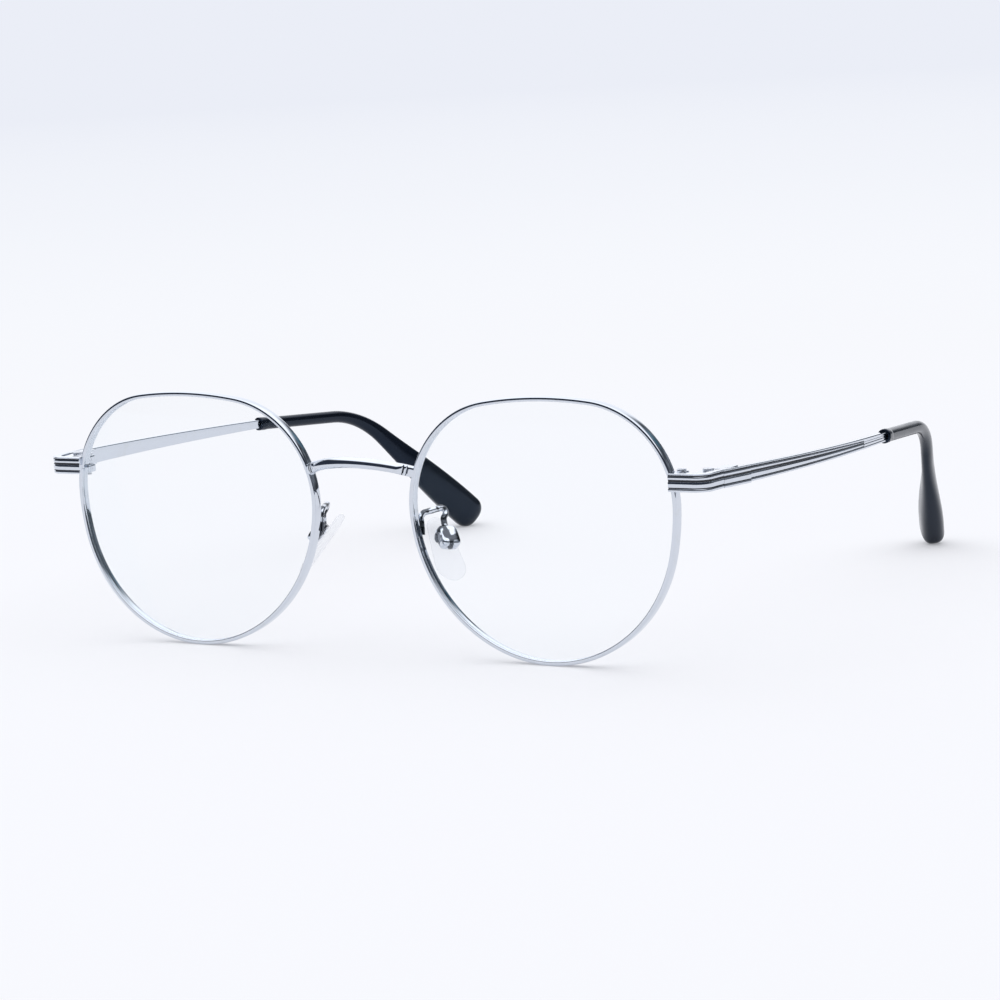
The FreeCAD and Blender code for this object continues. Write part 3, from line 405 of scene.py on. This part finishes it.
def wire_profile():
    """Section of the eyewire as (inset, depth): rounded edges, crowned faces and the lens groove."""
    edge, crown = 0.17, 0.03
    groove = ((0.75, 0.62), (0.41, 0.88), (0.41, 0.97), (0.75, 1.23))
    outline = []

    def corner(inset, depth, start):
        for i in range(6):
            a = math.radians(start + 18 * i)
            outline.append((inset + edge * math.cos(a), depth + edge * math.sin(a)))

    low, high = edge, WIRE_DEPTH - edge
    corner(edge, low, 180)
    outline.append((WIRE_WIDTH / 2, -crown))
    corner(WIRE_WIDTH - edge, low, 270)
    outline += groove
    corner(WIRE_WIDTH - edge, high, 0)
    outline.append((WIRE_WIDTH / 2, WIRE_DEPTH + crown))
    corner(edge, high, 90)
    for share in (0.25, 0.5, 0.75):
        outline.append((-crown * math.sin(math.pi * share), high + (low - high) * share))
    return outline


def make_eyewires():
    """A ring of the wire's section round the lens, open at the slit behind the endpiece."""
    spots, normals = eyewire_outline(0.22)
    profile = wire_profile()
    rings = []
    for (x, z), (nx, nz) in zip(spots, normals):
        ring = []
        for inset, depth in profile:
            px, pz = x - nx * inset, z - nz * inset
            ring.append((HALF_SPACING + px, face_depth(px, pz) + depth, LENS_CENTRE_Z + pz))
        rings.append(ring)
    points, faces = loft(rings)
    both_sides("eyewire", points, faces, plating, "frame", ["rim"], 50.0)


# inset and depth of each step over the lens edge, from its front face over the bevel to its back face
LENS_EDGE = (
    (0.8, 0.175),
    (0.77, 0.215),
    (0.77, 0.66),
    (0.44, 0.9),
    (0.44, 0.95),
    (0.77, 1.19),
    (0.77, 1.635),
    (0.8, 1.675),
)


def make_lenses():
    """Two dished faces, each a nest of shrinking outlines, joined by the bevelled edge."""
    spots, normals = eyewire_outline(0.6)

    def ring(inset, depth, scale=1.0):
        made = []
        for (x, z), (nx, nz) in zip(spots, normals):
            px, pz = (x - nx * inset) * scale, (z - nz * inset) * scale
            made.append((HALF_SPACING + px, face_depth(px, pz) + depth, LENS_CENTRE_Z + pz))
        return made

    scales = [0.02] + [i / 14 for i in range(1, 14)] + [0.985]
    front = [ring(*LENS_EDGE[0], scale) for scale in scales]
    edge = [ring(inset, depth) for inset, depth in LENS_EDGE]
    back = [ring(*LENS_EDGE[-1], scale) for scale in reversed(scales)]
    points, faces = loft(front + edge + back)
    both_sides("lens_blank", points, faces, lens_glass, "frame", ["lens"])


# ------------------------------------------------------------------ bridge
BRIDGE_START = np.array([-10.55, 2.2, 31.9])
BRIDGE_CROWN = np.array([0.0, -1.5, 33.9])
BRIDGE_HALF_TALL = 0.95
BRIDGE_HALF_THICK = 0.82
COLLAR_SPOTS = (1.35, 2.0)
COLLAR_WIDTH = 0.11
COLLAR_DEPTH = 0.2


def make_bridge():
    """An arch on one arc, egg shaped in section, with a squarer tab and two cut collars at each end."""
    end = BRIDGE_START * np.array([-1.0, 1.0, 1.0])
    half = np.linalg.norm(end - BRIDGE_START) / 2
    rise_way = unit(BRIDGE_CROWN - (BRIDGE_START + end) / 2)
    rise = np.linalg.norm(BRIDGE_CROWN - (BRIDGE_START + end) / 2)
    radius = (half**2 + rise**2) / (2 * rise)
    centre = BRIDGE_CROWN - rise_way * radius
    along = np.array([1.0, 0.0, 0.0])
    reach = math.asin(half / radius) * 0.995
    size = 40
    rings, dark = [], []
    for i in range(241):
        a = reach * (i / 120 - 1)
        spot = centre + rise_way * radius * math.cos(a) + along * radius * math.sin(a)
        way = along * math.cos(a) - rise_way * math.sin(a)
        side = unit(np.cross(way, UP))
        tall = np.cross(side, way)
        from_end = (reach - abs(a)) * radius
        tab = 1 - ease(from_end, 1.6, 3.4)
        collar = sum(math.exp(-(((from_end - cut) / COLLAR_WIDTH) ** 2)) for cut in COLLAR_SPOTS)
        power = 2.0 + 2.2 * tab
        ring = []
        for j in range(size):
            t = 2 * math.pi * j / size
            squeeze = (abs(math.cos(t)) ** power + abs(math.sin(t)) ** power) ** (-1 / power)
            front = max(0.0, math.cos(t))
            rising = math.sin(t) * squeeze
            widest = -0.3 * (1 - tab)
            up = widest + rising * (BRIDGE_HALF_TALL - widest * np.sign(rising))
            out = (BRIDGE_HALF_THICK - COLLAR_DEPTH * collar * front) * squeeze * math.cos(t)
            ring.append(spot + tall * up + side * out)
        # The collar cuts get the painted groove shade.
        if collar > 0.5 and rings:
            dark += [(len(rings) - 1) * size + j for j in (*range(0, 6), *range(34, size))]
        rings.append(ring)
    points, faces = loft(rings)
    piece("bridge_bar", points, faces, plating, "frame", ["bridge"], dark=dark)


# ------------------------------------------------------------------ endpiece, plate and temple
SPLAY = math.radians(7.9)
JOINT = np.array([66.3, 6.0])
BOW_RADIUS = 273.0
BOW_CENTRE = JOINT + BOW_RADIUS * np.array([-math.cos(SPLAY), math.sin(SPLAY)])
HALF_BAR = 0.75
BLADE_OUTSIDE = 0.4
GROOVES = (0.2, 0.6, 0.88)
GROOVE_HALVES = (0.1, 0.19, 0.12)
GROOVE_DEPTH = 0.17
CROWN = 0.07
RIDGE_POINTS = 9
GROOVE_POINTS = ((-1.0, 0.25), (-0.7, 0.9), (0.0, 1.0), (0.7, 0.9), (1.0, 0.25))
BAR_TALL = 3.0
BAR_FRONT = 0.65
BAR_START_X = 59.5
BAR_Z = 31.6
CORNER_RADIUS = 2.0


def bow(depth, side=0.0):
    """Point and outward direction of the temple's bow at a depth, seen from above."""
    turn = math.asin((depth - BOW_CENTRE[1]) / BOW_RADIUS)
    out = np.array([math.cos(turn), math.sin(turn)])
    return BOW_CENTRE + out * (BOW_RADIUS + side), out


def ridged_face(outer, tall, grooves, depth=1.0):
    """Upward outline of a face with engraved grooves, as (outward, height, in a groove) triples."""
    outline = []
    edges = [-tall / 2] + [(g - 0.5) * tall for g in grooves] + [tall / 2]
    halves = [half * tall / 3 for half in GROOVE_HALVES]
    for index, (low, high) in enumerate(zip(edges, edges[1:])):
        first = low + (halves[index - 1] if index else 0.0)
        last = high - (halves[index] if index < len(grooves) else 0.0)
        for i in range(RIDGE_POINTS):
            share = i / (RIDGE_POINTS - 1)
            sag = CROWN * (2 * share - 1) ** 2
            outline.append((outer - sag, first + (last - first) * share, False))
        if index < len(grooves):
            for across, down in GROOVE_POINTS:
                dip = CROWN * (1 - depth) + GROOVE_DEPTH * down * depth
                outline.append((outer - dip, high + across * halves[index] * 0.9, depth > 0.5))
    return outline


def bar_profile(outer, inner, tall, grooves=GROOVES, depth=1.0):
    """Section of a grooved bar with a rounded back, as (outward, height, in a groove) triples."""
    outline = ridged_face(outer, tall, grooves, depth)
    edge = 0.16
    for start, sign in ((90, 1.0), (0, -1.0)):
        for i in range(5):
            a = math.radians(start - 22.5 * i)
            height = sign * (tall / 2 - edge) + edge * math.sin(a)
            outline.append((inner + edge - edge * math.cos(a), height, False))
    return outline


def grooved_loft(sections):
    """Points, faces and the groove faces of a bar through (placed ring, profile) pairs."""
    points, faces = loft([ring for ring, _ in sections])
    size = len(sections[0][0])
    dark = []
    for i in range(len(sections) - 1):
        profile = sections[i][1]
        for j in range(size):
            # Faces between two groove points are listed for the painted groove shade.
            if profile[j][2] and profile[(j + 1) % size][2]:
                dark.append(i * size + j)
    return points, faces, dark


def make_endpieces():
    """The ridged bar from the eyewire outward, round the corner and back to the butt joint."""
    bar_middle = BAR_FRONT + HALF_BAR
    corner = (JOINT[0] - (JOINT[1] - bar_middle) * math.tan(SPLAY), bar_middle, BAR_Z)
    route = [(BAR_START_X, bar_middle, BAR_Z), corner, (*JOINT, BAR_Z)]
    spots, ways = rounded_route(route, [CORNER_RADIUS], 0.12)
    profile = bar_profile(HALF_BAR, -HALF_BAR, BAR_TALL)
    sections = []
    for spot, way in zip(spots, ways):
        out = np.array([way[1], -way[0], 0.0])
        sections.append(([spot + out * o + UP * h for o, h, _ in profile], profile))
    points, faces, dark = grooved_loft(sections)
    both_sides(
        "endpiece_bar", points, faces, plating, "frame", ["endpiece"], 40.0, dark
    )


PLATE_END = 14.0
PLATE_INSIDE = 0.25
BUTT_GAP = 0.06
LINE_END = 57.2
LINE_SHARES = (0.27, 0.56, 0.73)
TIP_START = 69.0
MOUTH_Z = 29.3
JOINT_Z = 31.55
MOUTH_TALL = 1.65


def blade_frame(depth):
    """Middle height and height of the temple blade at a depth."""
    run = (depth - JOINT[1]) / (TIP_START - JOINT[1])
    return JOINT_Z + run * (MOUTH_Z - JOINT_Z), BAR_TALL + run * (MOUTH_TALL - BAR_TALL)


def make_plates():
    """The ridged plate that lies on the front of the blade and carries on the endpiece's grooves."""
    profile = bar_profile(HALF_BAR, PLATE_INSIDE, BAR_TALL)
    sections = []
    for depth in np.linspace(JOINT[1] + BUTT_GAP, PLATE_END, 70):
        spot, out = bow(depth)
        middle, _ = blade_frame(depth)
        ring = [(*(spot + out * o), middle + h) for o, h, _ in profile]
        sections.append((ring, profile))
    points, faces, dark = grooved_loft(sections)
    both_sides(
        "temple_plate_bar",
        points,
        faces,
        plating,
        "temple_arm",
        ["temple_plate"],
        40.0,
        dark,
    )


def make_temples():
    """The blade: thin under the plate, then three engraved lines that draw together and end square."""
    sections = []
    stations = list(np.linspace(JOINT[1] + BUTT_GAP, PLATE_END - 0.01, 30))
    stations += list(np.linspace(PLATE_END, LINE_END - 0.3, 170))
    stations += [LINE_END - 0.28, LINE_END - 0.24, LINE_END - 0.04, LINE_END]
    stations += list(np.linspace(LINE_END + 0.2, TIP_START + 1.5, 24))
    for depth in stations:
        spot, out = bow(depth)
        middle, tall = blade_frame(depth)
        run = min(1.0, max(0.0, (depth - PLATE_END) / (LINE_END - PLATE_END)))
        grooves = [g + run**2 * (e - g) for g, e in zip(GROOVES, LINE_SHARES)]
        engraved = 1.0 if PLATE_END - 0.05 < depth < LINE_END - 0.01 else 0.0
        outer = BLADE_OUTSIDE if depth > PLATE_END - 0.05 else PLATE_INSIDE
        profile = bar_profile(outer, -HALF_BAR, tall, grooves, engraved)
        # The square end of the lines counts as groove, so it also gets the painted groove shade.
        if LINE_END - 0.25 < depth < LINE_END - 0.01:
            low, high = ((g - 0.5) * tall for g in (grooves[0], grooves[2]))
            profile = [
                (outer - GROOVE_DEPTH, h, True) if o > 0 and low < h < high else (o, h, groove)
                for o, h, groove in profile
            ]
        ring = [(*(spot + out * o), middle + h) for o, h, _ in profile]
        sections.append((ring, profile))
    points, faces, dark = grooved_loft(sections)
    both_sides(
        "temple_blade",
        points,
        faces,
        plating,
        "temple_arm",
        ["temple"],
        40.0,
        dark,
    )


# ------------------------------------------------------------------ ear tips
EAR_BEND = np.array([62.91, 98.56, 27.11])
TIP_END = np.array([53.1, 122.96, 3.27])
TIP_ROUND = 3.04
TIP_TWIST = math.radians(30.4)
BEND_RADIUS = 22.0
MOUTH_HALF_TALL, PADDLE_HALF_TALL = 1.2, 3.44
MOUTH_HALF_THICK, PADDLE_HALF_THICK = 1.1, 2.28
MOUTH_LIP = 0.1


def make_tips():
    """A sleeve over the blade that bends down behind the ear and widens to a twisted paddle."""
    spot, out = bow(TIP_START, (BLADE_OUTSIDE - HALF_BAR) / 2)
    start = np.array([*spot, MOUTH_Z])
    finish = TIP_END + unit(TIP_END - EAR_BEND) * TIP_ROUND
    spots, ways = rounded_route([start, EAR_BEND, finish], [BEND_RADIUS], 0.4)
    runs = np.concatenate([[0.0], np.cumsum(np.linalg.norm(np.diff(spots, axis=0), axis=1))])
    length = runs[-1]
    bend_side = unit(np.cross(unit(EAR_BEND - start), unit(TIP_END - EAR_BEND)))
    rings = []

    def ring(index, shrink, push=0.0):
        way, share = ways[index], runs[index] / length
        level_tall = unit(UP - way * way[2])
        bent_tall = unit(np.cross(way, bend_side))
        bent_tall *= math.copysign(1.0, bent_tall @ level_tall)
        twist = TIP_TWIST * ease(share, 0.45, 0.85)
        bent_tall = bent_tall * math.cos(twist) - np.cross(way, bent_tall) * math.sin(twist)
        tall = unit(level_tall + (bent_tall - level_tall) * ease(share, 0.3, 0.75))
        side = np.cross(way, tall)
        widen, thicken = ease(share, 0.36, 0.93), ease(share, 0.6, 0.92)
        half_tall = MOUTH_HALF_TALL + (PADDLE_HALF_TALL - MOUTH_HALF_TALL) * widen
        half_thick = MOUTH_HALF_THICK + (PADDLE_HALF_THICK - MOUTH_HALF_THICK) * thicken
        mouth = MOUTH_LIP * (1 - ease(runs[index], 1.6, 2.6))
        power = 2.1 + 0.7 * ease(share, 0.5, 0.8)
        outline = squircle((half_thick + mouth) * shrink, (half_tall + mouth) * shrink, power, 48)
        centre = spots[index] + way * push
        return [centre + side * a + tall * b for a, b in outline]

    rings.append(ring(0, 0.62, 0.8))
    rings.append(ring(0, 0.62, 0.02))
    rings.append(ring(0, 0.9, 0.0))
    rings.append(ring(0, 1.0, 0.12))
    last = next(i for i in range(len(runs)) if runs[i] > length - TIP_ROUND)
    rings += [ring(i, 1.0) for i in range(1, last)]
    for step in range(1, 15):
        angle = math.pi / 2 * step / 15
        along = length - TIP_ROUND + TIP_ROUND * math.sin(angle)
        index = last - 1
        rings.append(ring(index, math.cos(angle) ** 0.9, along - runs[index]))
    points, faces = loft(rings)
    both_sides("ear_tip", points, faces, acetate, "temple_arm", ["temple_tip"], 60.0)


# ------------------------------------------------------------------ nose pads
PAD_MIDDLE = np.array([12.5, 7.25, 17.9])
PAD_DOWN = unit((0.49, -0.38, -0.76))
PAD_LOOK = np.array((-0.76, 0.26, -0.61))
PAD_FACE = unit(PAD_LOOK - PAD_DOWN * (PAD_LOOK @ PAD_DOWN))
PAD_ACROSS = np.cross(PAD_FACE, PAD_DOWN)
PAD_LOWER, PAD_UPPER, PAD_REACH = 2.95, 2.2, 6.25
PAD_EDGE = (
    (2.1, -0.65),
    (1.2, -0.65),
    (0.5, -0.64),
    (0.22, -0.55),
    (0.05, -0.32),
    (0.0, -0.05),
    (0.05, 0.22),
    (0.22, 0.42),
    (0.5, 0.53),
    (1.0, 0.6),
    (1.6, 0.64),
    (2.1, 0.65),
)
BOX_SHIFT = -1.2
LUG_HALF = (0.88, 0.88, 0.8)
LUG_HEIGHT = -1.4
BOX_WALL = (
    (1.3, 1.2, -2.55),
    (1.33, 1.23, -1.1),
    (1.6, 1.45, -0.95),
    (1.83, 1.68, -0.95),
    (1.95, 1.8, -1.04),
    (2.0, 1.85, -1.35),
    (2.0, 1.85, -2.1),
    (1.96, 1.81, -2.48),
    (1.82, 1.68, -2.74),
    (1.5, 1.38, -2.86),
    (0.6, 0.6, -2.89),
)


def from_pad(x, y, z):
    """The place at x down the pad, y across it and z out of its face."""
    return PAD_MIDDLE + PAD_DOWN * x + PAD_ACROSS * y + PAD_FACE * z


def drop_ring(inset, height):
    """The cushion's drop shaped outline, moved inward and laid at a height over its mid plane."""
    lower_x, upper_x = PAD_REACH - PAD_LOWER, PAD_UPPER - PAD_REACH
    lean = math.acos((PAD_LOWER - PAD_UPPER) / (lower_x - upper_x))
    ring = []
    for centre, radius, first, last in (
        (lower_x, PAD_LOWER - inset, lean - math.pi, math.pi - lean),
        (upper_x, PAD_UPPER - inset, math.pi - lean, math.pi + lean),
    ):
        for i in range(33):
            a = first + (last - first) * i / 32
            ring.append(from_pad(centre + radius * math.cos(a), radius * math.sin(a), height))
    return ring


def make_pads():
    """The cushion, lofted through (inset, height) steps round its edge, and the lug behind it."""
    cushion = loft([drop_ring(inset, height) for inset, height in PAD_EDGE])
    axes = (PAD_DOWN, PAD_ACROSS, PAD_FACE)
    lug = soft_block(from_pad(BOX_SHIFT, 0, LUG_HEIGHT), LUG_HALF, axes, 6.0, 0.2)
    points, faces = join(cushion, lug)
    both_sides("nose_cushion", points, faces, silicone, "pad_cushion", ["nose_pad"])


def make_pad_boxes():
    """A rounded cup, from its inner floor up the inner wall, over the mouth and down to its back.

    Each step of BOX_WALL is half the length, half the width and the height of a ring.
    """
    rings = []
    for half_x, half_y, height in BOX_WALL:
        outline = squircle(half_x, half_y, 5.0, 40)
        rings.append([from_pad(BOX_SHIFT + a, b, height) for a, b in outline])
    points, faces = loft(rings)
    both_sides("pad_box_cup", points, faces, small_plating, "frame", ["pad_box"], 50.0)


def make_arms():
    """The pad arm: a drawn wire brazed flat to the eyewire, looped back and bent down to the box."""
    foot, elbow, loop, dip = (10.3, 3.5, 20.9), (10.1, 4.0, 24.5), (12.4, 10.3, 25.0), (12.3, 7.7, 23.2)
    corners = [foot, elbow, loop, dip, from_pad(-2.85, 0, -1.85)]
    spots, ways = rounded_route(corners, [1.2, 0.75, 0.7], 0.08)
    runs = np.concatenate([[0.0], np.cumsum(np.linalg.norm(np.diff(spots, axis=0), axis=1))])
    side = unit(np.cross(ways[0], (0.0, 1.0, 0.0)))
    rings = []
    for spot, way, run in zip(spots, ways, runs):
        side = unit(side - way * (side @ way))
        other = np.cross(way, side)
        flat = 1 - ease(run, 1.2, 3.0)
        wide, deep = 0.54 + 0.18 * flat, 0.54 - 0.14 * flat
        outline = squircle(wide, deep, 2.2, 24)
        rings.append([spot + side * a + other * b for a, b in outline])
    points, faces = loft(rings)
    both_sides("pad_arm_wire", points, faces, small_plating, "frame", ["pad_arm"])


CLOSING_BLOCKS = (("upper", 31.65, 33.0), ("lower", 30.0, 31.35))


def make_closing_blocks():
    """The two lobes behind the eyewire, above and below its slit, drawn together by a screw."""
    for name, low, high in CLOSING_BLOCKS:
        middle, half = (low + high) / 2, (high - low) / 2
        behind = soft_block((60.22, 4.32, middle), (1.08, 1.08, half), power=4.0, edge=0.25)
        beside = soft_block((60.85, 3.1, middle), (0.42, 1.3, half), power=4.0, edge=0.2)
        points, faces = join(behind, beside)
        both_sides(
            f"closing_lobe_{name}",
            points,
            faces,
            plating,
            "frame",
            [f"closing_block_{name}"],
            50.0,
        )


make_eyewires()
make_lenses()
make_bridge()
make_endpieces()
make_plates()
make_temples()
make_tips()
make_pads()
make_pad_boxes()
make_arms()
make_closing_blocks()

# ------------------------------------------------------------------ CAD nodes that stay
for name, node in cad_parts.items():
    paint = plating
    if name.startswith("pad_screw"):
        paint = pad_screw_metal
    elif "screw" in name:
        paint = screw_metal
    elif name.startswith("temple_tip"):
        paint = acetate
    elif name.startswith("nose_pad"):
        paint = silicone
    elif name.startswith(("closing", "hinge", "pad_box", "temple_")):
        paint = cut_plating
    for place in node.material_slots:
        place.material = paint

# ------------------------------------------------------------------ studio
FLOOR_FAR = (0.83, 0.855, 0.93, 1.0)
FLOOR_MIDDLE = (0.89, 0.91, 0.965, 1.0)
FLOOR_NEAR = (0.925, 0.94, 0.985, 1.0)
FLOOR_CENTRE = (0.935, 0.945, 0.985, 1.0)
FLOOR_REACH = 3.2
FLOOR_RADII = (0.3, 0.8, 2.0, 6.0, 40.0)
OVERHEAD_PANEL = (1.48, 1.51, 1.58, 1.0)
SIDE_PANEL = (1.12, 1.14, 1.2, 1.0)
DARK_FRONT = (0.035, 0.04, 0.05, 1.0)
COOL_TINT = (0.9, 1.0, 1.15, 1.0)
TEAL = (0.08, 0.25, 0.35, 1.0)
TEAL_WAY = (0.25, 0.85, 0.46)


def floor_material():
    """Translucent white sweep, lit from above and a little from below, fading to a pale backdrop."""
    made, n = material("white_sweep")
    place = n.add("ShaderNodeTexCoord").outputs["Object"]
    grain = n.noise(place, 900.0, 3.0, 0.6)
    distance = n.add("ShaderNodeVectorMath", {0: place}, operation="LENGTH").outputs["Value"]
    lit = n.add(
        "ShaderNodeBsdfDiffuse",
        {"Color": (0.61, 0.603, 0.603, 1.0), "Normal": n.bump(grain, 0.00005, 0.1)},
    ).outputs[0]
    glow = n.add("ShaderNodeEmission", {"Color": (0.283, 0.286, 0.3, 1.0)}).outputs[0]
    matte = n.add("ShaderNodeAddShader", {0: lit, 1: glow}).outputs[0]
    ramp = n.add("ShaderNodeValToRGB", {"Fac": n.maths("DIVIDE", distance, FLOOR_REACH)})
    stops = ramp.color_ramp.elements
    stops[0].position, stops[0].color = 0.1, FLOOR_CENTRE
    stops[1].position, stops[1].color = 1.0, FLOOR_FAR
    for position, colour in ((0.2, FLOOR_NEAR), (0.4, FLOOR_MIDDLE)):
        stops.new(position).color = colour
    even = n.add("ShaderNodeEmission", {"Color": ramp.outputs[0]}).outputs[0]
    share = n.step(distance, 0.16, 0.42)
    n.finish(n.add("ShaderNodeMixShader", {0: share, 1: matte, 2: even}).outputs[0])
    return made


def make_floor():
    """A round sheet of rings about the object, in metres."""
    faces, points = [], [(0.0, 0.0, 0.0)]
    sides = 96
    for radius in FLOOR_RADII:
        for j in range(sides):
            a = 2 * math.pi * j / sides
            points.append((radius * math.cos(a), radius * math.sin(a), 0.0))
    for j in range(sides):
        faces.append((0, 1 + j, 1 + (j + 1) % sides))
    for i in range(len(FLOOR_RADII) - 1):
        for j in range(sides):
            k = (j + 1) % sides
            a, b = 1 + i * sides, 1 + (i + 1) * sides
            faces.append((a + j, b + j, b + k, a + k))
    mesh = bpy.data.meshes.new("floor")
    mesh.from_pydata(points, [], faces)
    mesh.update()
    mesh.materials.append(floor_material())
    thing = bpy.data.objects.new("floor", mesh)
    bpy.context.scene.collection.objects.link(thing)


def make_world():
    """A studio seen in the metal: white overhead and behind left, a dark room low on the other sides.

    A faint teal patch high behind tints the reflections. What the lens sees past the floor is plain.
    """
    world = bpy.data.worlds.new("studio")
    bpy.context.scene.world = world
    world.use_nodes = True
    n = Nodes(world.node_tree)
    way = n.add("ShaderNodeTexCoord").outputs["Generated"]
    split = n.add("ShaderNodeSeparateXYZ", {0: way})
    x, y, z = split.outputs
    overhead = n.step(z, 0.50, 0.66)
    behind = n.step(y, 0.0, 0.2)
    behind_left = n.maths("MULTIPLY", behind, n.step(x, 0.04, -0.14))
    patchy = n.noise(way, 4.5, 4.0, 0.6)
    streak = n.noise(way, 11.0, 3.0, 0.6)
    room = n.step(patchy, 0.38, 0.72, 0.04, 0.30)
    room = n.maths("ADD", room, n.step(streak, 0.62, 0.75, 0.0, 0.30))
    grey = n.add("ShaderNodeCombineColor", {0: room, 1: room, 2: room}).outputs[0]
    room = n.blend(behind, DARK_FRONT, grey)
    room = n.blend(1.0, room, COOL_TINT, "MULTIPLY")
    teal_way = n.add("ShaderNodeVectorMath", {0: way, 1: TEAL_WAY}, operation="DISTANCE")
    teal = n.step(teal_way.outputs["Value"], 0.17, 0.06, 0.0, 0.4)
    room = n.blend(teal, room, TEAL)
    light = n.blend(behind_left, room, SIDE_PANEL)
    light = n.blend(overhead, light, OVERHEAD_PANEL)
    light = n.blend(n.step(z, 0.0, -0.02), light, FLOOR_FAR)
    seen = n.add("ShaderNodeLightPath").outputs["Is Camera Ray"]
    glow = n.add("ShaderNodeBackground", {"Color": n.blend(seen, light, FLOOR_FAR)}).outputs[0]
    n.finish(glow, "ShaderNodeOutputWorld")


make_floor()
make_world()
bpy.context.scene.view_settings.view_transform = "Standard"

# ------------------------------------------------------------------ camera
AZIMUTH, ELEVATION, ROLL = math.radians(30.682), math.radians(8.85), math.radians(-3.357)
TARGET = Vector((0.028322, -0.06195, 0.02801))
DISTANCE = 0.537104
back = Vector(
    (
        math.sin(AZIMUTH) * math.cos(ELEVATION),
        -math.cos(AZIMUTH) * math.cos(ELEVATION),
        math.sin(ELEVATION),
    )
)
level = Vector((math.cos(AZIMUTH), math.sin(AZIMUTH), 0.0))
rise = back.cross(level)
right = level * math.cos(ROLL) + rise * math.sin(ROLL)
top = rise * math.cos(ROLL) - level * math.sin(ROLL)
camera_data = bpy.data.cameras.new("camera")
camera_data.sensor_width = 36.0
camera_data.lens = 116.406
camera_data.clip_start = 0.01
camera_data.clip_end = 100.0
camera = bpy.data.objects.new("camera", camera_data)
bpy.context.scene.collection.objects.link(camera)
turn = Matrix((right, top, back)).transposed().to_4x4()
camera.matrix_world = Matrix.Translation(TARGET + back * DISTANCE) @ turn
bpy.context.scene.camera = camera
